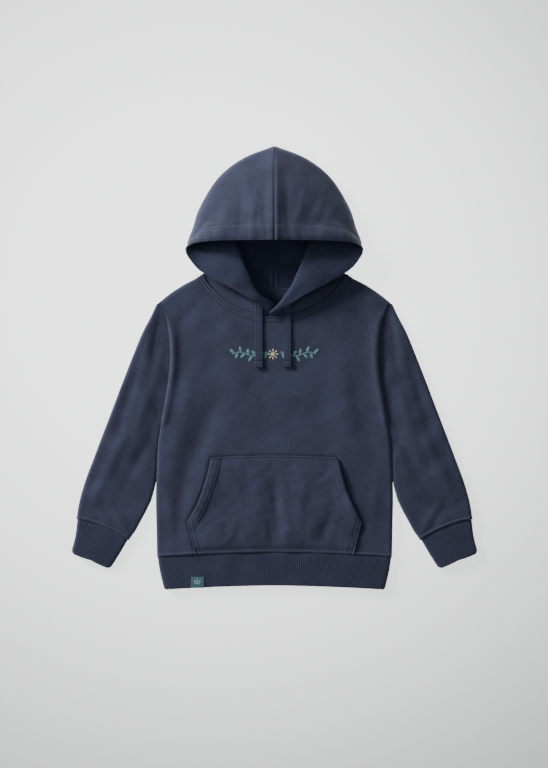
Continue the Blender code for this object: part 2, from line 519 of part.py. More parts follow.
# ---------------------------------------------------------------- pocket, cords and label
def kangaroo_pocket(cloth):
    """The patch pocket, made from the front's own points and moved out."""
    u, v = np.meshgrid(np.linspace(0, 1, 9), np.linspace(0, 1, 11))
    bottom = np.stack([u * POCKET_SIDE[0][0], POCKET_BOTTOM_Y + (POCKET_SIDE[0][1] - POCKET_BOTTOM_Y) * u ** 2], -1)
    top = np.stack([u * POCKET_TOP_HALF, POCKET_TOP_Y[0] + (POCKET_TOP_Y[1] - POCKET_TOP_Y[0]) * u ** 2], -1)
    lower = along(POCKET_SIDE[:3], np.clip(v / 0.3, 0, 1))
    upper = along(POCKET_SIDE[2:], np.clip((v - 0.3) / 0.7, 0, 1))
    side = np.where((v < 0.3)[..., None], lower, upper)
    middle = np.stack([np.zeros_like(v), POCKET_BOTTOM_Y + (POCKET_TOP_Y[0] - POCKET_BOTTOM_Y) * v], -1)
    uu, vv = u[..., None], v[..., None]
    plan = ((1 - vv) * bottom + vv * top + (1 - uu) * middle + uu * side
            - (1 - uu) * (1 - vv) * (0, POCKET_BOTTOM_Y) - uu * (1 - vv) * np.asarray(POCKET_SIDE[0])
            - (1 - uu) * vv * (0, POCKET_TOP_Y[0]) - uu * vv * np.asarray(POCKET_SIDE[-1]))
    puff = POCKET_PUFF * (1 - u ** 4) * np.sin(math.pi * v) ** 0.7
    right = np.dstack([plan, puff])
    whole = np.concatenate([right[:, :0:-1] * (-1, 1, 1), right], axis=1)
    whole[..., 2] += front_height(whole[..., 0], whole[..., 1]) + (FLEECE + POCKET_CLOTH) / 2 + SEAM_GAP
    return sheet("kangaroo_pocket", whole, POCKET_CLOTH, cloth)


def drawcord(name, route, cloth):
    """A flat tape along its route, its outer edge dropped as the hood below it slopes."""
    line = along(route, np.linspace(0, 1, 24))
    outward = math.copysign(1, route[0][0])
    points = np.stack([line[:, :3] + (edge * (TAPE[0] - TAPE[1]), 0, 0)
                       - line[:, 3:] * (0, 0, edge * outward) for edge in (-0.5, 0.5)], axis=1)
    return sheet(name, points, TAPE[1], cloth)


def hem_label(cloth):
    """A woven label that lies on the band's ribs."""
    x, y = np.meshgrid(np.linspace(-0.5, 0.5, 3) * LABEL[0] + LABEL_CENTRE[0],
                       np.linspace(-0.5, 0.5, 3) * LABEL[1] + LABEL_CENTRE[1])
    level = BAND_LEVELS[1] + RIB_WALL / 2 + RIB_HEIGHT + LABEL[2] / 2 + SEAM_GAP
    return sheet("hem_label", np.dstack([x, y, np.full(x.shape, level)]), LABEL[2], cloth)


COLLECTION = "toddler_hoodie"


def main():
    """Clear the scene and make every piece."""
    for thing in list(bpy.data.objects):
        bpy.data.objects.remove(thing, do_unlink=True)
    bpy.context.scene.collection.children.link(bpy.data.collections.new(COLLECTION))
    fleece = material("navy_fleece", NAVY, 0.92)
    rib = material("navy_rib", NAVY_RIB, 0.9)
    tape = material("navy_tape", NAVY, 0.8)
    woven = material("teal_label", TEAL, 0.6)
    body_panel("front_panel", front_neck, FRONT_LEVEL, SIDE_SEAM_LEVEL + 0.5, FRONT_FOLDS, FRONT_COLUMNS,
               FRONT_ROWS, fleece)
    body_panel("back_panel", back_neck, FLOOR, SIDE_SEAM_LEVEL - 0.5, (), BACK_COLUMNS, BACK_ROWS, fleece)
    for side, sign in (("left", 1), ("right", -1)):
        sleeve("sleeve_" + side, sign, fleece)
        cuff("cuff_" + side, sign, rib)
        hood_panel(side, sign, fleece)
    hem_band(rib)
    kangaroo_pocket(fleece)
    drawcord("drawcord_left", CORD_LEFT, tape)
    drawcord("drawcord_right", CORD_RIGHT, tape)
    hem_label(woven)


main()
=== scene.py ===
"""Finish of a toddler pullover hoodie that lies flat on its back: cloth, ribs, sewing and studio.

Tables are in millimetres, and MM turns them into metres when a mesh is made. X points to the
wearer's left, Y towards the hood and Z up from the surface that the hoodie lies on.
"""
import math

import bmesh
import bpy
import numpy as np
from bpy.props import FloatProperty, FloatVectorProperty, PointerProperty
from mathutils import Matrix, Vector


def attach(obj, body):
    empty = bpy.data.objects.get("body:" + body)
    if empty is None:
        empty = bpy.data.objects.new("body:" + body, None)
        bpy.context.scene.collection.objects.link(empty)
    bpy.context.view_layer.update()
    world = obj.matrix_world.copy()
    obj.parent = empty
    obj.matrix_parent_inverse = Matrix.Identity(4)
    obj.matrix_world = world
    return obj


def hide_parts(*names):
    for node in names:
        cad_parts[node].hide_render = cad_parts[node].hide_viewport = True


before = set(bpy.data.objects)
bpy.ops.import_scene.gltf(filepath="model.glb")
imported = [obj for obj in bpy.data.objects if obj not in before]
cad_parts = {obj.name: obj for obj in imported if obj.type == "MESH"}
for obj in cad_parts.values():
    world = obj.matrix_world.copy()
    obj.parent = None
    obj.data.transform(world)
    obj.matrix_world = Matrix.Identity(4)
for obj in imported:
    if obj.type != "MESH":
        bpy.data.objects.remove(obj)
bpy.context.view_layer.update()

bl_info = {
    "name": "Toddler Hoodie",
    "version": (1, 0, 0),
    "blender": (4, 5, 0),
    "location": "View3D > Sidebar > Hoodie",
    "description": "Makes the cloth, ribs, sewing and studio of a toddler hoodie laid flat",
    "category": "Object",
}

MM = 0.001

# ---------------------------------------------------------------- sizes
FLEECE = 2.4               # brushed sweatshirt fleece
RIB_WALL = 3.0             # rib knit, doubled
POCKET_CLOTH = 2.2
TAPE = (10.0, 2.0)         # drawcord width and thickness
LABEL = (18.0, 15.5, 0.8)  # width, height and thickness
FLOOR = FLEECE / 2         # middle of a wall that lies on the surface

FRONT_LEVEL = 7.0
SIDE_SEAM_LEVEL = 4.1
SLEEVE_LEVEL = 6.3
FRONT_NECK = (             # right half of the front neckline, from the middle to the shoulder point
    (0.0, 72.6), (20.0, 73.9), (40.0, 79.6), (58.0, 88.6), (73.7, 99.4), (87.8, 113.6),
    (95.5, 123.9), (98.6, 131.5))
BACK_NECK_Y = 111.0
BACK_NECK_POWER = 2.6      # how late the back neckline turns up to the shoulder point
UNDERARM_Y = -72.0
HEM_HALF = 164.4
HEM_MIDDLE_Y = -259.4
HEM_SIDE_Y = -265.6
BODY_EDGE = (              # height along the body, half width
    (-265.6, 164.4), (-225.0, 165.2), (-185.0, 166.0), (-150.0, 165.2), (-110.0, 163.0),
    (-85.0, 159.5), (-60.0, 155.0), (-30.0, 150.0), (-5.0, 146.6), (18.0, 145.5), (41.0, 146.6),
    (63.0, 150.0), (84.0, 156.0), (92.0, 160.5))
SHOULDER = (
    (98.6, 131.5), (108.0, 125.5), (125.0, 117.0), (139.0, 108.5), (150.5, 100.3), (160.5, 92.0))

# Soft folds: middle x and y, direction in degrees, half length, half breadth, height
FRONT_FOLDS = (
    (-103.0, -98.0, 69.0, 62.0, 14.0, -3.6),
    (-130.0, -190.0, 82.0, 50.0, 11.0, -2.2),
    (-128.0, -64.0, 76.0, 70.0, 12.0, 1.9),
    (-140.0, 20.0, 88.0, 58.0, 6.0, 1.2),
    (138.0, 25.0, 92.0, 62.0, 8.0, 1.0),
    (122.0, -70.0, 104.0, 66.0, 13.0, -1.6),
    (104.0, -40.0, 100.0, 52.0, 12.0, 0.9),
    (-118.0, 78.0, 40.0, 34.0, 9.0, -1.1),
    (120.0, 72.0, 136.0, 30.0, 10.0, -1.2),
    (-70.0, 10.0, 80.0, 60.0, 16.0, 0.9),
    (64.0, -60.0, 96.0, 66.0, 18.0, -1.1),
    (2.0, -206.0, 97.0, 44.0, 9.0, -0.8),
    (72.0, -222.0, 62.0, 36.0, 10.0, -1.0),
    (-52.0, -200.0, 84.0, 50.0, 20.0, 0.9),
    (46.0, -150.0, 70.0, 46.0, 18.0, 0.7),
    (140.0, -190.0, 84.0, 50.0, 9.0, 1.2),
    (-146.0, -210.0, 96.0, 44.0, 8.0, 1.1),
    (0.0, 52.0, 0.0, 74.0, 13.0, 0.6))
SLEEVE_STATIONS = (        # height on the inner side, outer edge x and y
    (92.0, 164.4, 87.6), (87.0, 167.6, 82.0), (72.0, 174.0, 69.0), (48.0, 186.0, 46.0),
    (14.0, 199.0, 14.0), (-24.0, 212.4, -20.0), (-62.0, 226.0, -56.0), (-98.0, 239.8, -92.0),
    (-134.0, 253.0, -127.0), (-168.0, 264.6, -158.0), (-204.0, 273.0, -187.0),
    (-241.5, 277.2, -212.0))
SLEEVE_INNER = (           # height, x of the inner edge once it leaves the body
    (-151.0, 164.9), (-159.0, 165.5), (-168.0, 167.2), (-185.5, 172.0), (-203.0, 180.5),
    (-211.0, 185.0), (-227.5, 193.8), (-241.5, 203.6))
SLEEVE_FOLDS = (
    (166.0, 30.0, 96.0, 60.0, 8.0, -1.8),
    (181.0, 14.0, 104.0, 50.0, 7.0, 1.1),
    (184.0, -60.0, 108.0, 64.0, 8.0, 1.5),
    (203.0, -40.0, 111.0, 60.0, 8.0, -1.5),
    (190.0, -130.0, 118.0, 46.0, 8.0, -1.5),
    (214.0, -110.0, 112.0, 44.0, 7.0, 1.1),
    (236.0, -150.0, 112.0, 60.0, 8.0, 1.4),
    (232.0, -204.0, 60.0, 26.0, 6.0, -1.3),
    (246.0, -196.0, 20.0, 16.0, 5.0, -0.9),
    (214.0, -216.0, 60.0, 18.0, 5.0, 0.9))

CUFF_INSET = 1.5           # how much narrower a cuff is than its sleeve, at each edge
CUFF_BOW = 4.0             # how far the cuff seam bows towards the shoulder
CUFF_BOW_ROWS = (204.0, 241.5)     # how far below the origin the sleeve takes up that bow
CUFF_STATIONS = (          # below the cuff seam: outer and inner edge x and y, share of the bow
    (278.8, -236.0, 216.8, -261.0, 0.0),
    (284.6, -258.6, 229.6, -281.2, 0.0))
BAND_STATIONS = (          # half width, y at the side, y at the middle
    (163.4, HEM_SIDE_Y, HEM_MIDDLE_Y),
    (160.6, -284.0, -280.0),
    (154.6, -309.6, -305.0))
BAND_LEVELS = (RIB_WALL / 2, 6.5)
CUFF_LEVELS = (RIB_WALL / 2, 6.1)

POCKET_TOP_Y = -123.5      # of its top edge in the middle
POCKET_BOTTOM_Y = -259.1   # of its bottom edge in the middle
POCKET_SIDE = (            # up its lower side to the corner, then up its opening
    (110.8, -261.6), (116.8, -237.0), (122.0, -216.0), (107.0, -187.5), (96.4, -158.0),
    (88.7, -126.5))

# Hood panel, one row for each section from the centre front of the neck round to the centre back:
# seam place and level; side fold x, y, low, high, folded; roll x, y, low, high, rolled; rim x, y, z
HOOD_FRONT = {             # the left side laps over the right one at the centre front
    "left": (
        (-0.062, 7.2,  -5.0, 75.0, 7.2, 9.0, 0.0,  -5.8, 77.4, 12.6, 17.0, 1.0,  -7.6, 74.4, 16.2),
        (0.05, 7.2,  8.0, 76.0, 7.2, 9.0, 0.0,  4.2, 85.8, 15.4, 21.6, 1.0,  12.6, 83.0, 18.6)),
    "right": (
        (0.088, 7.2,  10.4, 76.0, 7.2, 9.0, 0.0,  0.0, 86.4, 11.6, 15.4, 1.0,  9.6, 78.4, 14.2),
        (0.12, 7.2,  14.0, 77.0, 7.2, 9.0, 0.0,  3.0, 92.4, 14.4, 20.2, 1.0,  22.6, 90.2, 20.4))}
HOOD_SECTIONS = (
    (0.21, 7.2,  24.0, 78.0, 7.2, 9.0, 0.0,  14.4, 99.4, 16.6, 24.4, 1.0,  34.0, 96.8, 20.6),
    (0.40, 7.2,  46.0, 86.0, 7.2, 9.0, 0.0,  24.0, 113.0, 19.0, 27.2, 1.0,  57.0, 109.8, 19.4),
    (0.60, 7.2,  68.0, 98.0, 7.2, 9.0, 0.0,  30.0, 127.0, 20.5, 29.0, 1.0,  82.0, 122.8, 17.6),
    (0.78, 7.0,  86.0, 114.0, 6.4, 8.4, 0.0,  36.0, 140.0, 21.0, 29.5, 1.0,  100.0, 132.6, 16.6),
    (0.92, 6.4,  94.6, 129.4, 6.0, 7.4, 0.2,  41.5, 153.0, 20.4, 28.0, 1.0,  111.0, 141.6, 17.0),
    (1.00, 4.8,  103.5, 139.5, 3.8, 6.9, 1.0,  47.0, 168.0, 18.4, 25.0, 1.0,  118.0, 150.8, 17.6),
    (1.06, 2.8,  110.0, 147.4, 1.4, 7.2, 1.0,  57.0, 186.0, 14.6, 20.2, 1.0,  122.4, 158.0, 18.0),
    (1.12, 1.7,  117.0, 158.0, 1.2, 7.2, 1.0,  88.0, 188.0, 11.8, 16.4, 1.0,  123.4, 163.0, 18.4),
    (1.165, 1.2,  119.4, 164.6, 1.2, 7.2, 1.0,  106.0, 180.0, 11.4, 15.6, 1.0,  123.4, 164.8, 18.8),
    (1.20, 1.2,  120.6, 169.4, 1.2, 7.3, 1.0,  115.0, 176.4, 12.4, 16.2, 1.0,  122.4, 167.0, 19.4),
    (1.23, 1.2,  120.6, 174.5, 1.2, 7.4, 1.0,  118.4, 175.4, 14.6, 17.4, 0.6,  120.0, 169.4, 20.8),
    (1.27, 1.2,  118.6, 181.5, 1.2, 7.6, 1.0,  113.4, 178.0, 17.0, 19.0, 0.0,  114.2, 172.4, 28.4),
    (1.34, 1.2,  113.6, 194.0, 1.2, 7.8, 1.0,  101.6, 180.4, 19.6, 21.6, 0.0,  102.0, 174.8, 35.2),
    (1.43, 1.2,  103.4, 224.0, 1.2, 8.0, 1.0,  87.6, 188.0, 27.0, 28.4, 0.0,  85.0, 176.3, 40.4),
    (1.60, 1.2,  78.4, 264.0, 1.2, 8.2, 1.0,  58.4, 192.0, 38.0, 39.2, 0.0,  57.0, 177.0, 44.4),
    (1.79, 1.2,  44.0, 291.4, 1.2, 8.4, 1.0,  29.2, 194.0, 45.6, 46.8, 0.0,  28.6, 177.2, 48.0),
    (2.00, 1.2,  0.15, 309.0, 1.2, 8.6, 1.0,  0.15, 195.0, 50.0, 51.0, 0.0,  0.15, 177.4, 52.4))
ROLL_SHIFT = (             # section, how far the right side's roll lies further out
    (0.0, 0.0), (1.0, 5.2), (6.0, 5.2), (8.0, 3.0), (9.0, 0.0))
ROLL_X = 7                 # column of the roll's x in those rows
ROLL_LEVELS = [9, 10]      # columns of its levels
RIM_Z = 14                 # column of the rim's z
CUP_SECTIONS = (           # section, share of the cup in the hood's side under the rim's ends
    (3.6, 0.0), (5.0, 0.3), (7.0, 0.9), (9.0, 1.0), (11.0, 0.95), (13.0, 0.25), (14.0, 0.0))
CUP = {"left": 3.8, "right": 4.8}  # how far the roll sinks in the cup
RIM_RISE = {               # section, how much further than in the rows above the rim stands out
    "left": ((0.0, 0.0), (1.0, 1.5), (3.0, 7.0), (5.0, 8.0), (7.0, 4.5), (9.0, 1.5), (13.0, 0.2),
             (14.0, 0.0)),
    "right": ((0.0, 0.0), (1.0, 0.5), (3.0, 4.5), (5.0, 6.5), (7.0, 8.6), (9.0, 10.0), (11.0, 9.4),
              (13.0, 2.0), (14.0, 0.0))}
FLAP_CREST = {             # where a flap turns down: shares in x, y and z from its roll to its rim
    "left": (0.66, 0.66, 0.12),
    "right": (0.72, 0.72, -0.35)}
CUP_CREST = 0.2            # that share in z in the cup
HOOD_ROWS = ((0.0, 10), (2.0, 34), (7.0, 60), (14.0, 60), (18.0, 1))  # section, rows to the next
HOOD_COLUMNS = 118
TURN = 9.0                 # how near a fold its approach begins
END_STEP = 2.6             # spacing of a section's corners where it has no fold
CROWN_BULGE = 0.22         # how round the crown is between its outline and the rim
CROWN_ROOF = (5.2, 27.0)   # how far the crown falls beside its centre seam, and over what breadth
ROOF_AT_RIM = 0.1          # share of that at the rim
ROOF_GROWS = (6.0, 34.0)   # distances from the rim between which it grows to the whole
COLLAR_GROOVE = (3.0, 0.8, 3.4)    # depth, distance and breadth of the dip below the hem's edge
COLLAR_SAG = 1.5           # how late the collar below the hem rises from the neck seam to its roll
HOOD_SEAM_GAP = 0.3        # inside the neckline, but at the shoulder point it is larger
SHOULDER_SEAM_GAP = (0.98, 1.8, 0.08)      # seam place, gap to add, how far it spreads
HOOD_SEAM_TURN = (         # seam places, and the direction in which the gap lies there
    (0.0, 0.6, 0.85, 1.0, 1.1, 2.0), (90.0, 128.0, 150.0, 128.0, 100.0, 90.0))
SEAM_ALLOWANCE = 4.0       # of the hood under the back neckline
ALLOWANCE_STARTS = (1.45, 1.6)     # seam places between which it appears
HEM_WIDTH = 21.6           # of the hood's front edge, which holds the cord

CROWN_FOLDS = (
    (-38.0, 262.0, 80.0, 34.0, 8.0, 1.6),
    (-30.0, 214.0, 88.0, 34.0, 6.0, 1.5),
    (-47.0, 222.0, 84.0, 36.0, 7.0, -1.6),
    (-72.0, 206.0, 78.0, 28.0, 8.0, 1.4),
    (-14.0, 226.0, 92.0, 40.0, 5.0, -1.1),
    (17.0, 232.0, 92.0, 46.0, 6.0, -2.0),
    (36.0, 222.0, 76.0, 30.0, 6.0, 1.7),
    (56.0, 228.0, 70.0, 28.0, 7.0, -1.9),
    (78.0, 212.0, 66.0, 26.0, 7.0, 1.4))

CORD_LEFT = (
    (18.2, 94.0, 17.5, 1.3), (18.2, 90.0, 16.1, 1.3), (18.2, 86.0, 14.8, 1.2),
    (18.2, 82.0, 13.2, 1.1), (18.2, 78.0, 11.9, 1.0), (18.2, 73.0, 10.6, 0.3),
    (18.1, 66.0, 10.3, 0.0), (18.0, 44.0, 10.2, 0.0), (18.0, 22.0, 10.2, 0.0),
    (18.0, 0.0, 10.2, 0.0))
CORD_RIGHT = (
    (-21.7, 95.0, 17.6, 1.2), (-21.7, 92.0, 16.4, 1.0), (-21.7, 89.0, 15.1, 0.9),
    (-21.7, 86.0, 14.0, 0.8), (-21.7, 83.0, 13.0, 0.8), (-21.7, 79.0, 11.9, 0.9),
    (-21.7, 74.0, 10.6, 0.4), (-21.7, 66.0, 10.3, 0.0), (-21.7, 44.0, 10.2, 0.0),
    (-21.6, 22.0, 10.2, 0.0), (-21.6, -1.0, 10.2, 0.0))
LABEL_CENTRE = (-107.4, -300.6)

# Distances of sewing from the edge beside it
NECK_STITCHES = (4.8, 9.6)
POCKET_OPENING_STITCHES = (11.4, 14.4)
POCKET_SIDE_STITCHES = (2.6, 8.2)
POCKET_TOP_STITCH = 2.4

PICTURE = (548, 768)       # width and height of the picture
PIXEL = 1.4                # size of a pixel on the hoodie
VIEW_CENTRE = (-0.7, -23.1)
CAMERA_HEIGHT = 6000.0
SENSOR = 36.0


# ---------------------------------------------------------------- curves and heights
WAVE_COUNT = 12            # waves that are laid over each other in the cloth's unevenness
WAVE_STRETCH = (0.7, 1.7)  # between which shares of its size their lengths lie
ROUND = 6.28               # radians in a whole wave


def spline(points, steps):
    """Points of a Catmull-Rom curve through the rows of points, at steps counted in rows."""
    rows = np.asarray(points, float)
    steps = np.asarray(steps, float)
    padded = np.vstack([2 * rows[0] - rows[1], rows, 2 * rows[-1] - rows[-2]])
    index = np.clip(np.floor(steps).astype(int), 0, len(rows) - 2)
    t = (steps - index)[..., None]
    p0, p1, p2, p3 = (padded[index + k] for k in range(4))
    return 0.5 * (2 * p1 + (p2 - p0) * t + (2 * p0 - 5 * p1 + 4 * p2 - p3) * t ** 2
                  + (3 * p1 - p0 - 3 * p2 + p3) * t ** 3)


def run_length(line):
    """Distance run along a line up to each of its points."""
    return np.concatenate([[0], np.cumsum(np.linalg.norm(np.diff(line, axis=0), axis=1))])


def at_shares(line, shares):
    """Points at the given shares of a polyline's length."""
    run = run_length(line)
    places = np.asarray(shares) * run[-1]
    return np.stack([np.interp(places, run, line[:, k]) for k in range(line.shape[1])], -1)


def along(points, shares):
    """Points at the given shares of the length of the smooth curve through points."""
    steps = np.linspace(0, len(points) - 1, 30 * (len(points) - 1) + 1)
    return at_shares(spline(points, steps), shares)


def bowed(share, middle_y, end):
    """Points at shares of the way out from the middle to end, on a line bowed like a parabola."""
    return np.stack([share * end[0], middle_y + (end[1] - middle_y) * share ** 2], -1)


def soft_path(corners, steps):
    """A quadratic B-spline: it starts and ends on the end corners and rounds the others off."""
    padded = np.concatenate([corners[:1], corners, corners[-1:]])
    index = np.clip(np.floor(steps).astype(int), 0, len(padded) - 3)
    t = (steps - index)[:, None]
    return ((1 - t) ** 2 / 2 * padded[index] + (0.5 + t - t * t) * padded[index + 1]
            + t ** 2 / 2 * padded[index + 2])


def ease(value, low, high):
    """0 below low, 1 above high and a smooth step between them."""
    t = np.clip((value - low) / (high - low), 0, 1)
    return t * t * (3 - 2 * t)


def hill(value, middle, breadth):
    """1 at the middle, falling off smoothly over the breadth."""
    return np.exp(-((value - middle) / breadth) ** 2)


def hills(away, table):
    """Height at a distance away from a seam; each row of the table is a hill beside it."""
    return sum(height * hill(away, middle, breadth) for height, middle, breadth in table)


def relief(folds, x, y):
    """Height that the soft folds add at x, y."""
    total = np.zeros(np.broadcast(x, y).shape)
    for fold_x, fold_y, turn, reach, breadth, height in folds:
        cosine, sine = math.cos(math.radians(turn)), math.sin(math.radians(turn))
        run = (x - fold_x) * cosine + (y - fold_y) * sine
        across = (y - fold_y) * cosine - (x - fold_x) * sine
        total += height * np.exp(-(run / reach) ** 2 - (across / breadth) ** 2)
    return total


def unevenness(x, y, size, height, seed):
    """Gentle waves in all directions, as in cloth that was smoothed by hand."""
    total = np.zeros(np.broadcast(x, y).shape)
    lowest, highest = (0, 0, WAVE_STRETCH[0]), (ROUND, ROUND, WAVE_STRETCH[1])
    draws = np.random.default_rng(seed).uniform(lowest, highest, (WAVE_COUNT, 3))
    for turn, phase, stretch in draws:
        run = x * math.cos(turn) + y * math.sin(turn)
        total += np.cos(run * ROUND / (size * stretch) + phase)
    return height * total / math.sqrt(WAVE_COUNT)


def waves(x, y, table):
    """Unevenness of several sizes; each row of the table is a size, a height and a seed."""
    return sum(unevenness(x, y, size, height, seed) for size, height, seed in table)


def distance(x, y, line):
    """Distance in plan from each point to a polyline."""
    place = np.stack([np.ravel(x), np.ravel(y)], 1)
    nearest = np.full(len(place), 1e9)
    for start, step in zip(line[:-1], np.diff(line, axis=0)):
        share = np.clip((place - start) @ step / max(step @ step, 1e-9), 0, 1)
        nearest = np.minimum(nearest, np.linalg.norm(place - start - share[:, None] * step, axis=1))
    return nearest.reshape(np.shape(x))


def beside(line, offset):
    """The line moved sideways in plan, to its left as it runs."""
    step = np.gradient(line, axis=0)
    normal = np.stack([-step[:, 1], step[:, 0]], 1) / np.linalg.norm(step, axis=1, keepdims=True)
    return line + normal * offset


def both_halves(right):
    """A line or a grid's rows with their left half, which mirrors the right half that is given."""
    flip = (-1.0, 1.0, 1.0)[:right.shape[-1]]
    return np.concatenate([right[..., :0:-1, :] * flip, right], axis=-2)


def patch(u, v, edges, corners):
    """Grid of plan points that blends the bottom, top, left and right edges at the shares u and v.

    corners are the left and right ends of the bottom edge, then of the top edge.
    """
    bottom, top, left, right = edges
    low_left, low_right, high_left, high_right = np.asarray(corners, float)
    u, v = u[..., None], v[..., None]
    return ((1 - v) * bottom + v * top + (1 - u) * left + u * right
            - (1 - u) * (1 - v) * low_left - u * (1 - v) * low_right
            - (1 - u) * v * high_left - u * v * high_right)


BODY_OUTLINE = spline(BODY_EDGE, np.linspace(0, len(BODY_EDGE) - 1, 131))


def body_edge(y):
    """Half width of the body at height y."""
    return np.interp(y, BODY_OUTLINE[:, 0], BODY_OUTLINE[:, 1])


def front_neck(share):
    """Right half of the front neckline, from the middle to the shoulder point."""
    return along(FRONT_NECK, share)


def back_neck(share):
    """Right half of the back neckline, nearly straight in the middle."""
    half, point_y = FRONT_NECK[-1]
    x = np.linspace(0, half, 60)
    y = BACK_NECK_Y + (point_y - BACK_NECK_Y) * (x / half) ** BACK_NECK_POWER
    return at_shares(np.stack([x, y], 1), share)


def hem_y(x):
    """Height of the hem seam at x."""
    return HEM_MIDDLE_Y + (HEM_SIDE_Y - HEM_MIDDLE_Y) * (x / HEM_HALF) ** 2


def body_side(low):
    """Plan line up the body's side, from the height low to the shoulder's end."""
    y = np.linspace(low, SHOULDER[-1][1], 60)
    return np.stack([body_edge(y), y], 1)


NECKLINE = front_neck(np.linspace(0, 1, 60))
ARMHOLE = body_side(UNDERARM_Y)
BESIDE_BODY = body_side(-150.0)    # along it the sleeve dips to the body
ARMHOLE_STARTS = (-84.0, -52.0)    # minus the heights between which its ridge and groove appear
POCKET_TOP = bowed(np.linspace(0, 1, 30), POCKET_TOP_Y, POCKET_SIDE[-1])
POCKET_OPENING = along(POCKET_SIDE[2:], np.linspace(0, 1, 40))
POCKET_LOWER = along(POCKET_SIDE[:3], np.linspace(0, 1, 20))
POCKET_EDGE = np.concatenate([POCKET_TOP, POCKET_OPENING[::-1], POCKET_LOWER[::-1]])

# Hills beside a seam: height, distance from the seam and breadth
HEM_HILLS = ((1.5, 2.4, 1.3), (-1.8, 0.0, 1.0))
CUFF_HILLS = ((1.4, 2.4, 1.3), (-1.8, 0.0, 1.0))
ARMHOLE_HILLS = ((2.1, 4.0, 5.0), (-0.4, 18.0, 9.0), (-1.6, 0.0, 1.4))
NECK_HILLS = ((-2.6, 0.0, 1.5), (-1.4, NECK_STITCHES[0], 1.1), (-0.5, NECK_STITCHES[1], 1.1))
POCKET_HILLS = ((-1.4, 0.0, 1.9),)
NECK_SWELL = 0.9           # how much the seam allowance raises the cloth beside the neckline

CHEST_CALM = 0.85          # how much flatter the chest is where it was smoothed by hand
CHEST = (36.0, 34.0, 58.0)         # its height, and its half width and half height
FRONT_WAVES = ((58.0, 0.55, 1), (21.0, 0.16, 2))   # size, height and seed
TUCK_END = 1.5             # how far either side of the pocket's foot the hem seam's tuck ends
TUCK_HEIGHT = (3.0, 14.0)  # heights over the hem seam between which it ends


def tucked(x, y):
    """How far the front and the pocket are pressed down where the pocket runs into the hem seam."""
    foot = POCKET_SIDE[0][0]
    within = 1 - ease(np.abs(x), foot - TUCK_END, foot + TUCK_END)
    return (FLEECE + POCKET_CLOTH) / 2 * within * (1 - ease(y - hem_y(x), *TUCK_HEIGHT))


def front_base(x, y):
    """Middle of the front wall with its folds alone."""
    middle_y, half_width, half_height = CHEST
    calm = 1 - CHEST_CALM * np.exp(-(x / half_width) ** 2 - ((y - middle_y) / half_height) ** 2)
    return FRONT_LEVEL + relief(FRONT_FOLDS, x, y) + calm * waves(x, y, FRONT_WAVES)


def front_height(x, y):
    """Middle of the front wall at x, y, away from its closed edges."""
    side = np.abs(x)
    neck = distance(side, y, NECKLINE)
    height = front_base(x, y) + NECK_SWELL * (1 - ease(neck, *NECK_STITCHES))
    height += hills(neck, NECK_HILLS)
    height += hills(distance(side, y, ARMHOLE), ARMHOLE_HILLS) * ease(-y, *ARMHOLE_STARTS)
    height += hills(distance(side, y, POCKET_EDGE), POCKET_HILLS)
    return height + hills(y - hem_y(x), HEM_HILLS) - tucked(x, y)


def front_face(x, y):
    """Level of the front's upper face at x, y."""
    return front_height(x, y) + FLEECE / 2


# ---------------------------------------------------------------- materials
# Each cloth's colour setting, and how it differs from fleece
SATIN = {"column": 0.0005, "loop": 0.004, "mottle": 0.1, "roughness": 0.55}
CLOTHS = {
    "Navy Fleece": ("fleece", {}),
    # the inner face's cloth: its colour is painted shade, darker and bluer than the fleece
    "Navy Fleece Inside Painted Shade": ("inside", {"column": 0.0016, "loop": 0.0013, "fuzz": 1.1, "bump": 0.0008,
                                      "sheen": 0.06}),
    "Navy Rib": ("rib", {"column": 0.0010, "mottle": 0.35, "bump": 0.0003}),
    "Navy Tape": ("tape", {"column": 0.0012, "loop": 0.0012, "mottle": 0.3, "bump": 0.0004,
                           "sheen": 0.05}),
    "Navy Thread": ("thread", {"column": 0.0004, "loop": 0.0004, "sheen": 0.0, "roughness": 0.6}),
    # near-black thread sunk in seams: painted shade of the grooves and gaps it lies in
    "Painted Shade Thread": ("painted_shade_thread", {"column": 0.0004, "loop": 0.0004, "sheen": 0.0,
                                    "roughness": 0.7}),
    "Teal Label": ("label", {"column": 0.0005, "loop": 0.0005, "mottle": 0.05, "sheen": 0.05,
                             "roughness": 0.7}),
    "Teal Embroidery": ("teal_thread", SATIN),
    "Pale Embroidery": ("pale_thread", SATIN),
    "Yellow Embroidery": ("yellow_thread", SATIN)}
KNIT_NOISES = ((900.0, 2.0), (240.0, 3.0), (34.0, 3.0))    # scale and detail: fibres, tufts, clouds
TUFT_WOBBLE = 0.8          # how far the tufts push the knit's columns aside
LOOP_SHARE = 0.6           # height of the loops, where the columns have 1
CLOUD_SHARE = 1.4          # weight of the clouds in the mottle, where fibres and tufts have 1
NOISE_MIDDLE = 1.7         # mean of that sum
KNIT_MIDDLE = 0.4          # height of the knit that leaves the tone as it is
KNIT_SHADE = 0.16          # painted shade of the knit: how much lighter the tone is for each unit above it


def socket(tree, label, side, kind, default=None):
    """Add a named socket to a node group."""
    made = tree.interface.new_socket(label, in_out=side, socket_type=kind)
    if default is not None:
        made.default_value = default


def math_node(tree, operation, *values):
    """A Math node fed with sockets or numbers; gives its output socket."""
    node = tree.nodes.new("ShaderNodeMath")
    node.operation = operation
    for plug, value in zip(node.inputs, values):
        if isinstance(value, (int, float)):
            plug.default_value = value
        else:
            tree.links.new(value, plug)
    return node.outputs[0]


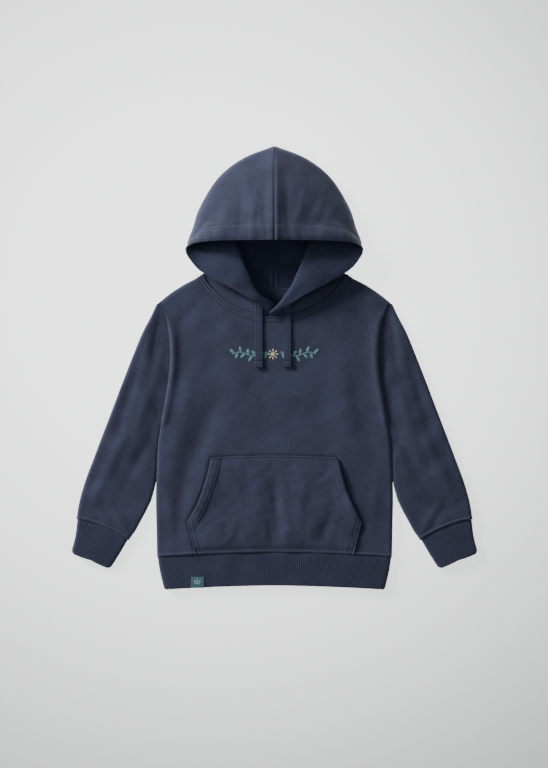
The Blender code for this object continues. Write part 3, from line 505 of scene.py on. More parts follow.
def knit_group():
    """Node group: the columns of loops of a fine knit, its fuzz, and its tone, uneven at random and
    with painted shade in the knit's hollows.

    It works on metres along the cloth's UV map: U across the columns and V along them.
    """
    tree = bpy.data.node_groups.new("Fine Knit", "ShaderNodeTree")
    for label, default in (("Column Width", 0.0011), ("Loop Height", 0.0009), ("Fuzz", 0.5),
                           ("Mottle", 0.1)):
        socket(tree, label, 'INPUT', "NodeSocketFloat", default)
    socket(tree, "Tone With Painted Shade", 'OUTPUT', "NodeSocketFloat")
    socket(tree, "Height", 'OUTPUT', "NodeSocketFloat")
    given = tree.nodes.new("NodeGroupInput").outputs
    output = tree.nodes.new("NodeGroupOutput")
    cloth_map = tree.nodes.new("ShaderNodeUVMap")
    cloth_map.uv_map = "cloth"
    split = tree.nodes.new("ShaderNodeSeparateXYZ")
    tree.links.new(cloth_map.outputs[0], split.inputs[0])
    place = tree.nodes.new("ShaderNodeTexCoord").outputs["Object"]

    def noise(scale, detail):
        node = tree.nodes.new("ShaderNodeTexNoise")
        node.inputs["Scale"].default_value = scale
        node.inputs["Detail"].default_value = detail
        tree.links.new(place, node.inputs["Vector"])
        return node.outputs["Fac"]

    fibres, tufts, clouds = (noise(scale, detail) for scale, detail in KNIT_NOISES)
    across = math_node(tree, 'DIVIDE', split.outputs[0], given["Column Width"])
    wobbly = math_node(tree, 'MULTIPLY_ADD', tufts, TUFT_WOBBLE, across)
    column = math_node(tree, 'PINGPONG', wobbly, 0.5)
    up = math_node(tree, 'DIVIDE', split.outputs[1], given["Loop Height"])
    loop = math_node(tree, 'PINGPONG', math_node(tree, 'ADD', up, column), 0.5)
    knit = math_node(tree, 'ADD', column, math_node(tree, 'MULTIPLY', loop, LOOP_SHARE))
    both = math_node(tree, 'ADD', fibres, tufts)
    fuzz = math_node(tree, 'MULTIPLY', both, given["Fuzz"])
    tree.links.new(math_node(tree, 'ADD', knit, fuzz), output.inputs["Height"])
    noises = math_node(tree, 'MULTIPLY_ADD', clouds, CLOUD_SHARE, both)
    spread = math_node(tree, 'SUBTRACT', noises, NOISE_MIDDLE)
    tone = math_node(tree, 'MULTIPLY_ADD', spread, given["Mottle"], 1.0)
    # painted shade: the tone is lighter where the knit stands high and darker in its hollows
    lit = math_node(tree, 'SUBTRACT', knit, KNIT_MIDDLE)
    shade = math_node(tree, 'MULTIPLY_ADD', lit, KNIT_SHADE, tone)
    tree.links.new(shade, output.inputs["Tone With Painted Shade"])
    return tree


def cloth_material(name, color, knit, column=0.0011, loop=0.0009, fuzz=0.5, mottle=0.5,
                   bump=0.0006, sheen=0.12, roughness=0.92):
    """A knitted or woven cloth: plain colour varied by the knit's random tone and painted shade, a
    soft sheen and a fine bump.
    """
    material = bpy.data.materials.new(name)
    material.use_nodes = True
    tree = material.node_tree
    shader = tree.nodes["Principled BSDF"]
    for label, value in (("Roughness", roughness), ("Specular IOR Level", 0.25),
                         ("Sheen Weight", sheen), ("Sheen Roughness", 0.6)):
        shader.inputs[label].default_value = value
    surface = tree.nodes.new("ShaderNodeGroup")
    surface.node_tree = knit
    for label, value in (("Column Width", column), ("Loop Height", loop), ("Fuzz", fuzz),
                         ("Mottle", mottle)):
        surface.inputs[label].default_value = value
    tint = tree.nodes.new("ShaderNodeVectorMath")
    tint.operation = 'SCALE'
    tint.inputs[0].default_value = color
    tree.links.new(surface.outputs["Tone With Painted Shade"], tint.inputs["Scale"])
    tree.links.new(tint.outputs[0], shader.inputs["Base Color"])
    bumps = tree.nodes.new("ShaderNodeBump")
    bumps.inputs["Strength"].default_value = 0.6
    bumps.inputs["Distance"].default_value = bump
    tree.links.new(surface.outputs["Height"], bumps.inputs["Height"])
    tree.links.new(bumps.outputs[0], shader.inputs["Normal"])
    return material


def material_named(name):
    """One of the hoodie's materials, all made on first use."""
    if name not in bpy.data.materials:
        knit = knit_group()
        for cloth, (setting, changes) in CLOTHS.items():
            color = getattr(bpy.context.scene.hoodie_colors, setting)
            cloth_material(cloth, color, knit, **changes)
    return bpy.data.materials[name]


# ---------------------------------------------------------------- cloth pieces
WELD = 0.000001            # metres within which the vertices of a tube's seam are joined
PETAL_WELD = 0.00001       # and those at the tip of a petal
RIM_ANGLE = 62.0           # bend, in degrees, from which a cloth wall's edge is rounded


def grid_normals(points):
    """Unit normals of a grid of points."""
    normal = np.cross(np.gradient(points, axis=1), np.gradient(points, axis=0))
    return normal / np.maximum(np.linalg.norm(normal, axis=2, keepdims=True), 1e-9)


def faces_up(points, row=0.5, column=0.5):
    """Whether a grid's normals point up at a place, given as shares of its rows and columns."""
    normal = grid_normals(points)
    last_row, last_column = len(points) - 1, points.shape[1] - 1
    return bool(normal[int(row * last_row), int(column * last_column), 2] > 0)


def new_object(name, data):
    """Put a new object in the scene."""
    made = bpy.data.objects.new(name, data)
    bpy.context.scene.collection.objects.link(made)
    return made


def grid_mesh(name, points):
    """Mesh of a grid of points."""
    rows, columns = points.shape[:2]
    grid = bmesh.new()
    bmesh.ops.create_grid(grid, x_segments=columns - 1, y_segments=rows - 1, size=0.5)
    mesh = bpy.data.meshes.new(name)
    grid.to_mesh(mesh)
    grid.free()
    mesh.vertices.foreach_set("co", (points * MM).ravel())
    return mesh


def map_cloth(mesh, flat):
    """Give a mesh its UV map, from each vertex's place in metres on the flat cloth."""
    corner = np.empty(len(mesh.loops), int)
    mesh.loops.foreach_get("vertex_index", corner)
    mesh.uv_layers.new(name="cloth").data.foreach_set("uv", flat[corner].ravel())


def face_outward(mesh, weld=0.0):
    """Turn a mesh's faces outward, once its vertices within the distance weld are joined."""
    shape = bmesh.new()
    shape.from_mesh(mesh)
    if weld:
        bmesh.ops.remove_doubles(shape, verts=shape.verts, dist=weld)
    bmesh.ops.recalc_face_normals(shape, faces=shape.faces)
    shape.to_mesh(mesh)
    shape.free()


def cloth_piece(name, points, thickness, material, ring=False, rim=0.7, inside=None,
                faces_out=True):
    """A closed cloth wall round a grid of points, with rounded rims and a UV map of the cloth.

    inside is the material of its inner face, which the grid's normals leave where faces_out holds.
    """
    rows, columns = points.shape[:2]
    mesh = grid_mesh(name, points)
    across = np.linalg.norm(np.diff(points, axis=1), axis=2).cumsum(axis=1)
    across = np.concatenate([np.zeros((rows, 1)), across], axis=1)
    across -= across[:, columns // 2, None]
    down = np.linalg.norm(np.diff(points, axis=0), axis=2).cumsum(axis=0)
    down = np.concatenate([np.zeros((1, columns)), down], axis=0)
    map_cloth(mesh, np.stack([across.ravel(), down.ravel()], 1) * MM)
    if ring:
        face_outward(mesh, WELD)
    mesh.shade_smooth()
    for face in ((material, inside) if faces_out else (inside, material)):
        if face:
            mesh.materials.append(face)
    piece = new_object(name, mesh)
    wall = piece.modifiers.new("wall", 'SOLIDIFY')
    wall.thickness = thickness * MM
    wall.offset = 0.0
    wall.use_rim = True
    wall.material_offset = 1 if inside else 0
    wall.material_offset_rim = 0 if faces_out else 1
    rounding = piece.modifiers.new("rim", 'BEVEL')
    rounding.width = rim * MM
    rounding.segments = 2
    rounding.limit_method = 'ANGLE'
    rounding.angle_limit = math.radians(RIM_ANGLE)
    bake(piece)
    return piece


def bake(piece):
    """Replace a piece's mesh by the result of its modifiers."""
    depsgraph = bpy.context.evaluated_depsgraph_get()
    solid = bpy.data.meshes.new_from_object(piece.evaluated_get(depsgraph))
    piece.modifiers.clear()
    piece.data = solid
    for face in solid.polygons:
        face.use_smooth = True


def finish(piece, slot, *nodes):
    """Make a piece ride on the hoodie, in place of its CAD nodes."""
    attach(piece, "root")
    if nodes:
        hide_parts(*nodes)


def sheet_piece(name, node, points, thickness, cloth, flat, rests_on, **looks):
    """A cloth wall in place of a CAD node: a sheet of the named cloth; the size flat is not used.
    """
    piece = cloth_piece(name, points, thickness, material_named(cloth), **looks)
    finish(piece, cloth.lower().replace(" ", "_"), node)


# ---------------------------------------------------------------- body
CLOSED_INSETS = (          # inward from an edge, closest first
    0.0, 0.15, 0.45, 0.9, 1.4, 2.0, 2.6, 3.2, 3.8, 4.4, 5.1, 5.8, 6.4, 7.0, 7.6, 8.3, 9.4, 11.0)
HEM_ROWS = np.linspace(0, 6.5, 14)         # heights of the rows nearest the hem
CURL = 5.0                 # how far in a closed edge begins to curl to its seam
PANEL_HEIGHT = 357.6       # from the hem's side to the shoulder's end
SIDE_CLOSES = (56.0, 92.0)         # how far below the origin the side seam begins, and is whole
NECK_SHARE = 0.62          # share of a panel's top edge that is neckline
SHOULDER_CLOSES = (0.02, 0.08)     # shares inside and outside that where the shoulder seam does
FLARE = 15.0               # how far the columns lean out below the shoulder point
FLARE_BREADTH = 0.2        # share of the panel's width over which they do
FLARE_START = 0.05         # share of its height below the top where they begin to
SEAM_STEP = 0.3            # how far from the side seam's level each panel's edge stays
LAP_HEIGHT = FLEECE + 0.1
LAP_ENDS = (62.0, 80.0)    # where the back's lap over the hood's seam allowance fades out
LAP_FALLS = (6.0, 34.0)    # distances from the neckline between which it slopes down to the surface
LAP_SEAM = (0.85, 1.9)     # share of the lap by which the neck seam is sunk, and its breadth
LAP_STITCHES = ((-0.5, 5.2, 1.0),)         # height, distance from the neckline and breadth


def half_panel(u, v, neck):
    """Plan points of a body panel's right half; u runs out from the middle, v up from the hem."""
    shoulder = SHOULDER[-1]
    side_y = HEM_SIDE_Y + (shoulder[1] - HEM_SIDE_Y) * v
    neck_middle = neck(np.zeros(1))[0]
    neck_part = neck(np.clip(u / NECK_SHARE, 0, 1))
    shoulder_part = along(SHOULDER, np.clip((u - NECK_SHARE) / (1 - NECK_SHARE), 0, 1))
    middle_y = HEM_MIDDLE_Y + (neck_middle[1] - HEM_MIDDLE_Y) * v
    edges = (bowed(u, HEM_MIDDLE_Y, (HEM_HALF, HEM_SIDE_Y)),
             np.where((u < NECK_SHARE)[..., None], neck_part, shoulder_part),
             np.stack([np.zeros_like(v), middle_y], axis=-1),
             np.stack([body_edge(side_y), side_y], axis=-1))
    corners = ((0.0, HEM_MIDDLE_Y), (HEM_HALF, HEM_SIDE_Y), neck_middle, shoulder)
    plan = patch(u, v, edges, corners)
    lean = u * (1 - u) / (NECK_SHARE * (1 - NECK_SHARE))
    lean = lean * np.exp(-((u - NECK_SHARE) / FLARE_BREADTH) ** 2)
    plan[..., 0] += FLARE * lean * (1 - np.exp(-(1 - v) / FLARE_START)) * v
    return plan


def body_points(neck, height, seam_level, columns, rows):
    """Grid of a body panel, both halves; its sides and shoulders curl to the seam level."""
    insets = np.asarray(CLOSED_INSETS)[::-1]
    out = np.linspace(0, 1 - insets[0] / HEM_HALF, columns)[:-1]
    up = np.linspace(HEM_ROWS[-1] / PANEL_HEIGHT, 1 - insets[0] / PANEL_HEIGHT, rows)[1:-1]
    v, u = np.meshgrid(np.concatenate([HEM_ROWS / PANEL_HEIGHT, up, 1 - insets / PANEL_HEIGHT]),
                       np.concatenate([out, 1 - insets / HEM_HALF]), indexing="ij")
    side_inset, top_inset = (1 - u) * HEM_HALF, (1 - v) * PANEL_HEIGHT
    side_closed = ease(-(HEM_SIDE_Y + PANEL_HEIGHT * v), *SIDE_CLOSES)
    top_closed = ease(u, NECK_SHARE - SHOULDER_CLOSES[0], NECK_SHARE + SHOULDER_CLOSES[1])
    rise = 1.0
    for inset, closed in ((side_inset, side_closed), (top_inset, top_closed)):
        curl = np.sqrt(np.clip(1 - (1 - np.minimum(inset / CURL, 1)) ** 2, 0, 1))
        rise = rise * (curl * closed + (1 - closed))
    u = u - FLEECE / 2 / HEM_HALF * side_closed * (1 - side_inset / HEM_HALF)
    v = v - FLEECE / 2 / PANEL_HEIGHT * top_closed * (1 - top_inset / PANEL_HEIGHT)
    whole = both_halves(np.dstack([half_panel(u, v, neck), rise]))
    top = height(whole[..., 0], whole[..., 1])
    whole[..., 2] = seam_level + (top - seam_level) * whole[..., 2]
    return whole


def back_height(x, y):
    """Middle of the back wall, flat but for the neckline's lap over the hood's seam allowance."""
    neck = distance(np.abs(x), y, back_neck(np.linspace(0, 1, 40)))
    lap = LAP_HEIGHT * (1 - ease(neck, *LAP_FALLS)) * (1 - ease(np.abs(x), *LAP_ENDS))
    depth, breadth = LAP_SEAM
    sewn = hills(neck, LAP_STITCHES) * (lap > 1)
    return FLOOR + lap * (1 - depth * hill(neck, 0, breadth)) + sewn


class HOODIE_OT_body(bpy.types.Operator):
    """Make the front and back of the body with their sewing"""
    bl_idname = "hoodie.body"
    bl_label = "Body"

    def execute(self, context):
        inside = material_named("Navy Fleece Inside Painted Shade")
        front = body_points(front_neck, front_height, SIDE_SEAM_LEVEL + SEAM_STEP,
                            columns=88, rows=190)
        sheet_piece("front", "front_panel", front, FLEECE, "Navy Fleece", (0.334, 0.400),
                    ["back_panel"], rim=0.3, inside=inside, faces_out=faces_up(front))
        back = body_points(back_neck, back_height, SIDE_SEAM_LEVEL - SEAM_STEP,
                           columns=60, rows=130)
        sheet_piece("back", "back_panel", back, FLEECE, "Navy Fleece", (0.334, 0.400),
                    ["floor"], inside=inside, faces_out=not faces_up(back))
        lines = [both_halves(beside(NECKLINE, -offset)) for offset in NECK_STITCHES]
        rows = [np.column_stack([line, front_face(*line.T)]) for line in lines]
        stitch_rows("neck_topstitch", rows, length=2.6, thread=1.1, material="Painted Shade Thread")
        return {'FINISHED'}


# ---------------------------------------------------------------- sleeves and bands
EDGE_INSETS = (0.0, 0.12, 0.45, 1.0, 1.7, 2.6, 3.4, 4.2)   # points round a closed edge, from it
EDGE_SHARE = 0.4           # most of the section's breadth that an edge may take
UNDERARM_CLOSES = (68.0, 82.0)     # how far below the origin a sleeve begins to be a tube, and is
TUBE_Y = UNDERARM_Y - 3    # from here down its inner edges are joined
SLEEVE_ROWS = np.concatenate([     # heights of a sleeve's rows on its inner side
    np.linspace(SLEEVE_STATIONS[0][0], UNDERARM_Y, 60), np.linspace(TUBE_Y, -231.5, 56),
    np.linspace(-232.0, -241.5, 18)])
SLEEVE_COLUMNS = 30
WHOLLY = 0.999             # share of closing from which the edges are joined halfway
SLEEVE_OVERLAP = 0.25      # how far the sleeve's inner edge reaches past the armhole
SLEEVE_WAVES = ((46.0, 0.5, 5), (18.0, 0.13, 6))   # size, height and seed
SHOULDER_SWELL = 0.7       # of the sleeve above its armhole's ridge
BODY_DIP = (2.6, 14.0)     # depth and breadth of the dip beside the body
DIP_ENDS = (90.0, 165.0)   # how far below the origin it fades out
SEAM_DIP = (0.5, 2.0)      # depth and breadth of the dip along the armhole's edge
LEAST_FOLD = 0.5           # how much the upper layer stands over the middle at least
BAND_ROWS = 24
CUFF_CORNER = 5.0          # radius in plan of the corners at a cuff's free edge
HEM_CORNER = 2.6           # and at the hem band's
BAND_CROWDING = 1.5        # how the rows crowd towards a band's free edge
RIB_POINTS = 6             # points across a rib
RIBS_START = (0.5, 4.0)    # distances from a band's edges between which its ribs appear
BAND_WAVE = (40.0, 0.25, 8)        # size, height and seed
BAND_PRESSED = (-0.5, 0.0, 0.05)   # height, share of the way down and breadth at the band's seam
CORNER_POINTS = 8          # points of a closed edge that the underside keeps
UNDER_POINTS = 40          # and how many it keeps between them


def half_section(length, count, first_closed=1.0):
    """Distances across a flattened tube and how far each lies from its middle level, 0 to 1."""
    insets = np.asarray(EDGE_INSETS) * min(1.0, EDGE_SHARE * length / EDGE_INSETS[-1])
    rises = np.sqrt(1 - (1 - np.asarray(EDGE_INSETS) / EDGE_INSETS[-1]) ** 2)
    inner = np.linspace(insets[-1], length - insets[-1], count + 2)[1:-1]
    places = np.concatenate([insets, inner, (length - insets)[::-1]])
    lift = np.concatenate([1 - first_closed * (1 - rises), np.ones(count), rises[::-1]])
    return places, lift


def sleeve_inner(y):
    """x of the sleeve's inner side: along the armhole and the body first, then clear of them."""
    table = np.asarray(SLEEVE_INNER)
    if y > table[0, 0]:
        return float(body_edge(y) - SLEEVE_OVERLAP)
    return float(np.interp(-y, -table[:, 0], table[:, 1]))


def sleeve_relief(plan, inner_y):
    """Height that folds and seams add to a sleeve's upper layer, in its row at inner_y."""
    x, y = plan.T
    depth, breadth = BODY_DIP
    below_shoulder = float(ease(-inner_y, *ARMHOLE_STARTS))
    dip = depth * hill(distance(x, y, BESIDE_BODY), 0, breadth) * below_shoulder
    folds = relief(SLEEVE_FOLDS, x, y) + waves(x, y, SLEEVE_WAVES)
    folds += SHOULDER_SWELL * (1 - below_shoulder) - dip * float(1 - ease(-inner_y, *DIP_ENDS))
    return folds + hills(distance(x, y, CUFF_SEAM), CUFF_HILLS)


def sleeve_points():
    """Grid of a flattened sleeve, open along the armhole and closed to a tube below it."""
    stations = spline(SLEEVE_STATIONS, np.linspace(0, len(SLEEVE_STATIONS) - 1, 221))
    middle, half = (FLOOR + SLEEVE_LEVEL) / 2, (SLEEVE_LEVEL - FLOOR) / 2
    depth, breadth = SEAM_DIP
    rows = []
    for inner_y in SLEEVE_ROWS:
        closed = float(ease(-inner_y, *UNDERARM_CLOSES))
        inner = np.array([sleeve_inner(inner_y), inner_y])
        outer = np.array([np.interp(-inner_y, -stations[:, 0], stations[:, k]) for k in (1, 2)])
        across = (outer - inner) / np.linalg.norm(outer - inner)
        inner = inner + across * FLEECE / 2 * closed
        length = np.linalg.norm(outer - inner) - FLEECE / 2
        places, lift = half_section(length, SLEEVE_COLUMNS, closed)
        plan = inner + across * places[:, None]
        plan += cuff_bow(places / length) * ease(-inner_y, *CUFF_BOW_ROWS)
        folds = sleeve_relief(plan, inner_y) - depth * hill(places, 0, breadth) * (1 - closed)
        top = np.column_stack([plan, middle + (half + np.maximum(folds, LEAST_FOLD - half)) * lift])
        bottom = np.column_stack([plan, middle - half * lift])[::-1]
        if inner_y <= TUBE_Y:
            bottom[-1] = top[0] = (top[0] + bottom[-1]) / 2 if closed > WHOLLY else top[0]
        rows.append(np.concatenate([top, bottom]))
    return np.asarray(rows)


CUFF_OUTER = np.array(SLEEVE_STATIONS[-1][1:])
CUFF_INNER = np.array(SLEEVE_INNER[-1][::-1])
CUFF_ACROSS = (CUFF_INNER - CUFF_OUTER) / np.linalg.norm(CUFF_INNER - CUFF_OUTER)


def cuff_bow(share):
    """How far the cuff seam bows towards the shoulder, at a share of the way across it."""
    along_sleeve = np.array([CUFF_ACROSS[1], -CUFF_ACROSS[0]])
    return CUFF_BOW * 4 * (share * (1 - share))[:, None] * along_sleeve


CUFF_SHARES = np.linspace(0, 1, 21)
CUFF_SEAM = (CUFF_OUTER + CUFF_SHARES[:, None] * (CUFF_INNER - CUFF_OUTER)
             + cuff_bow(CUFF_SHARES))


class HOODIE_OT_sleeves(bpy.types.Operator):
    """Make both sleeves"""
    bl_idname = "hoodie.sleeves"
    bl_label = "Sleeves"

    def execute(self, context):
        right = sleeve_points()
        for side, sign in (("left", 1), ("right", -1)):
            sheet_piece("sleeve_" + side + "_cloth", "sleeve_" + side, right * (sign, 1, 1), FLEECE,
                        "Navy Fleece", (0.25, 0.34), ["floor"], ring=True, rim=0.3)
        return {'FINISHED'}


def band_points(stations, levels, bow, corner, sizes):
    """Rings of a flattened rib band; its ribs run from its first station to its last.

    bow gives how far its points lie off the straight line between a station's ends, and corner is
    the radius in plan of the corners at its free edge.
    """
    stations = np.asarray(stations, float)
    last = len(stations) - 1
    lengths = np.linalg.norm(stations[:, 2:4] - stations[:, 0:2], axis=1) - RIB_WALL
    ribs = int(lengths[1] / (sizes.rib_pitch / MM))
    middle, half = sum(levels) / 2, (levels[1] - levels[0]) / 2
    rings = []
    for share in last * (1 - (1 - np.linspace(0, 1, BAND_ROWS)) ** BAND_CROWDING):
        station = spline(stations, np.array([share]))[0]
        outer, inner = station[:2], station[2:4]
        across = (inner - outer) / np.linalg.norm(inner - outer)
        to_edge = min(np.linalg.norm(stations[-1, :2] - outer) / corner, 1.0)
        cut = corner * (1 - math.sqrt(1 - (1 - to_edge) ** 2))
        outer, inner = outer + across * cut, inner - across * cut
        length = np.linalg.norm(inner - outer) - RIB_WALL
        places, lift = half_section(length, RIB_POINTS * ribs)
        plan = outer + across * (places + RIB_WALL / 2)[:, None] + bow(places / length, station)
        stand = sizes.rib_height / MM * np.cos(places / length * ribs * 2 * math.pi)
        stand = stand * ease(np.minimum(places, length - places), *RIBS_START)
        stand = stand + waves(*plan.T, [BAND_WAVE]) + hills(share / last, [BAND_PRESSED])
        top = np.column_stack([plan, middle + half * lift + stand * lift])
        end = len(plan) - CORNER_POINTS
        kept = np.unique(np.concatenate([
            np.arange(CORNER_POINTS), np.arange(end, len(plan)),
            np.linspace(CORNER_POINTS, end - 1, UNDER_POINTS).astype(int)]))
        bottom = np.column_stack([plan, middle - half * lift])[kept][::-1]
        rings.append(np.concatenate([top, bottom[1:-1], top[:1]]))
    return np.asarray(rings)


def cuff_seam_bow(share, station):
    """Bow of a cuff, of which a station's last value is the share."""
    return cuff_bow(share) * station[4]


def hem_seam_bow(share, station):
    """Bow of the hem band, whose stations end with the height in the middle."""
    rise = station[4] - station[1]
    return np.column_stack([np.zeros_like(share), rise * (1 - (2 * share - 1) ** 2)])


class HOODIE_OT_bands(bpy.types.Operator):
    """Make the rib cuffs and the rib band at the hem"""
    bl_idname = "hoodie.bands"
    bl_label = "Cuffs and Hem Band"

    def execute(self, context):
        sizes = context.scene.hoodie_sizes
        inset = CUFF_ACROSS * CUFF_INSET
        stations = ((*(CUFF_OUTER + inset), *(CUFF_INNER - inset), 1.0), *CUFF_STATIONS)
        right = band_points(stations, CUFF_LEVELS, cuff_seam_bow, CUFF_CORNER, sizes)
        for side, sign in (("left", 1), ("right", -1)):
            sheet_piece("cuff_" + side + "_rib", "cuff_" + side, right * (sign, 1, 1), RIB_WALL,
                        "Navy Rib", (0.16, 0.055), ["floor"], ring=True, rim=1.2)
        stations = [(half, side_y, -half, side_y, middle_y)
                    for half, side_y, middle_y in BAND_STATIONS]
        points = band_points(stations, BAND_LEVELS, hem_seam_bow, HEM_CORNER, sizes)
        sheet_piece("hem_rib", "hem_band", points, RIB_WALL, "Navy Rib", (0.68, 0.056), ["floor"],
                    ring=True, rim=1.2)
        return {'FINISHED'}


# ---------------------------------------------------------------- hood
COLLAR_LATE = (0.25, 0.5)  # seam places between which the collar begins to rise late
MOST_STEP = 0.1            # shares of the way between its folds that a step may take at most
MOST_NEAR = 0.2            # and an approach as seen from between them
APPROACH = 0.4             # an approach takes at most this share of the way to its fold
MIDDLE_SHARES = (0, 0.33, 0.67, 1.0)       # of the section's corners between its folds
FLAP_SECTIONS = 8.0        # the turned-out hem's edge covers the collar up to this section
COLLAR_STARTS = (1.2, 2.4)         # sections between which the collar's dip begins
COLLAR_ENDS = (5.5, 7.0)   # and ends
COLLAR_STEPS = (7.5, 8.5)  # steps of a section between which it ends
CROWN_STARTS = (12.0, 14.0)        # sections between which the crown begins
HEMMED_STARTS = (13.5, 14.4)       # and its hem
CROWN_STEPS = (5.0, 7.0)   # steps of a section between which the crown's upper layer begins
UPPER_STEPS = (4.6, 5.4)   # and the upper layer as a whole
UNDER_STEPS = (3.0, 4.0)   # and between which the layer below it ends
HEM_HEIGHT = 1.0           # how far the hem stands out,
HEM_SLOPE = (2.0, 1.2)     # how far inside and outside its width it falls off
RIM_SLOPE = (0.5, 5.0)     # and the distances from the rim between which it rises
HEM_SEWING = (-0.9, HEM_WIDTH, 1.1)        # height, distance from the rim and breadth
SIDE_SEWING = (-0.5, HEM_WIDTH - 4, 0.9)   # the same for a second row,
SIDE_SEWING_STARTS = (52.0, 80.0)  # distances from the centre seam where it begins
HOOD_WAVES = ((46.0, 0.55, 11), (17.0, 0.14, 12))  # size, height and seed
CROWN_CREASES = (9.0, 0.2, 31)     # size, height and seed of its fine creases
CREASE_STRETCH = 0.25      # how much longer they are than broad, as its inverse
CREASES_END = (2.0, 16.0)  # distances beyond the hem between which they end
SEAM_RIDGE = {"left": (1.3, 3.6, 1.9), "right": (0.4, 3.6, 1.9)}  # beside the centre seam
SEAM_GROOVE = (-2.2, 0.0, 1.2)
INNER_RIDGE = (1.6, 3.4, 1.2)      # of the centre seam on the layer that shows in the mouth
INNER_RIDGE_STARTS = (15.0, 17.0)  # sections between which it begins
STITCHED_FROM = 13.4       # section from which the hem's stitches show
CROWN_ROW = -2             # row and column of a point on the crown
CROWN_COLUMN = HOOD_COLUMNS // 2 + 8
CROWN_PLACE = (0.98, 0.57)         # shares of the rows and columns at such a point
WAVES_START = (0.0, 12.0)  # distances from the rim between which the waves appear
LEAST_REACH = 0.001        # keeps a zero out of the divisions


def hood_seam(place):
    """Plan point of the hood's neck seam, just inside the neckline, at 0 to 2 from the front."""
    on_line = front_neck(min(abs(place), 1.0)) if place <= 1 else back_neck(min(2.0 - place, 1.0))
    angle = math.radians(np.interp(place, *HOOD_SEAM_TURN))
    middle, extra, breadth = SHOULDER_SEAM_GAP
    gap = HOOD_SEAM_GAP + extra * math.exp(-((place - middle) / breadth) ** 2)
    gap -= SEAM_ALLOWANCE * float(ease(place, *ALLOWANCE_STARTS))
    away = gap * np.array([math.cos(angle), math.sin(angle)])
    return on_line * (math.copysign(1, place), 1) + away


def toward(start, end, reach):
    """Plan point that lies reach from start on the way to end, or less if end is near."""
    step = end - start
    return start + step * min(reach / max(np.linalg.norm(step), LEAST_REACH), APPROACH)


def hood_corners(section, turn_down):
    """Corners of a section's soft path, from neck seam to rim; turn_down is a FLAP_CREST."""
    seam_place, level, *rest = section
    side, roll, rim = np.asarray(rest[0:5]), np.asarray(rest[5:10]), np.asarray(rest[10:13])
    folded, rolled = np.clip(side[4], 0, 1), np.clip(roll[4], 0, 1)
    late = 1 + COLLAR_SAG * (1 - folded) * ease(seam_place, *COLLAR_LATE)
    seam = np.array([*hood_seam(float(min(seam_place, 2.0))), level])

    def on_line(start, end, share):
        """Point on the way from start to end, raised as the crown is between outline and rim."""
        bulged = share ** late + CROWN_BULGE * 4 * share * (1 - share) * folded
        plan = start[:2] + (end[:2] - start[:2]) * share
        return np.array([*plan, start[2] + (end[2] - start[2]) * bulged])

    low, high = side[[0, 1, 2]], side[[0, 1, 3]]
    under, over = roll[[0, 1, 2]], roll[[0, 1, 3]]
    start = high * folded + seam * (1 - folded)
    end = under * rolled + rim * (1 - rolled)
    reach = max(np.linalg.norm(end[:2] - start[:2]), LEAST_REACH)
    step = min(END_STEP / reach, MOST_STEP)
    approach = np.array([*toward(low[:2], seam[:2], TURN), low[2]])
    with_fold = [(seam + low) / 2, approach, low, high]
    without_fold = [on_line(seam, end, step * k) for k in (1, 2, 3, 4)]
    without_fold[0][2] = level
    first = [folded * a + (1 - folded) * b for a, b in zip(with_fold, without_fold)]
    with_roll = [under, over, over + (rim - over) * turn_down]
    without_roll = [on_line(start, rim, 1 - step * k) for k in (3, 2, 1)]
    last = [rolled * a + (1 - rolled) * b for a, b in zip(with_roll, without_roll)]
    near = min(TURN / reach, MOST_NEAR)
    gap_start = near + (1 - folded) * 4 * step
    gap_end = 1 - near - (1 - rolled) * 2 * step
    middle = [on_line(start, end, gap_start + (gap_end - gap_start) * share)
              for share in MIDDLE_SHARES]
    return np.array([seam, *first, *middle, *last, rim])


def arcs_from_rim(points):
    """Distance along its section from each point to the rim."""
    steps = np.linalg.norm(np.diff(points, axis=1), axis=2)
    arcs = steps[:, ::-1].cumsum(axis=1)[:, ::-1]
    return np.concatenate([arcs, np.zeros((len(points), 1))], axis=1)


def hood_points(side, sign):
    """Grid of one side of the hood, and which section each of its rows is."""
    table = (*HOOD_FRONT[side], *HOOD_SECTIONS)
    places = [np.linspace(start, stop, count, endpoint=False)
              for (start, count), (stop, _) in zip(HOOD_ROWS, HOOD_ROWS[1:])]
    sections = np.concatenate([*places, [len(table) - 1]])
    steps = np.linspace(0, 13, HOOD_COLUMNS)
    rows = spline(table, sections)
    if side == "right":
        rows[:, ROLL_X] += np.interp(sections, *np.transpose(ROLL_SHIFT))
    cup = np.interp(sections, *np.transpose(CUP_SECTIONS))
    rows[:, RIM_Z] += np.interp(sections, *np.transpose(RIM_RISE[side]))
    rows[:, ROLL_LEVELS] -= CUP[side] * cup[:, None]
    crests = np.repeat([FLAP_CREST[side]], len(rows), axis=0)
    crests[:, 2] += (CUP_CREST - crests[:, 2]) * cup
    points = np.asarray([soft_path(hood_corners(*each), steps) for each in zip(rows, crests)])
    dip_collar(points, sections, steps)
    normal = grid_normals(points)
    if normal[CROWN_ROW, CROWN_COLUMN, 2] < 0:
        normal = -normal
    return points + normal * hood_relief(points, sections, steps, side, sign)[..., None], sections


def dip_collar(points, sections, steps):
    """Sink the collar where the turned-out hem's edge lies on it."""
    depth, away, breadth = COLLAR_GROOVE
    flap_edge = points[sections < FLAP_SECTIONS, -1, :2]
    collar = (1 - ease(sections, *COLLAR_ENDS)) * ease(sections, *COLLAR_STARTS)
    collar = collar[:, None] * (1 - ease(steps, *COLLAR_STEPS))
    from_edge = distance(points[..., 0], points[..., 1], flap_edge)
    points[..., 2] -= depth * hill(from_edge, away, breadth) * collar


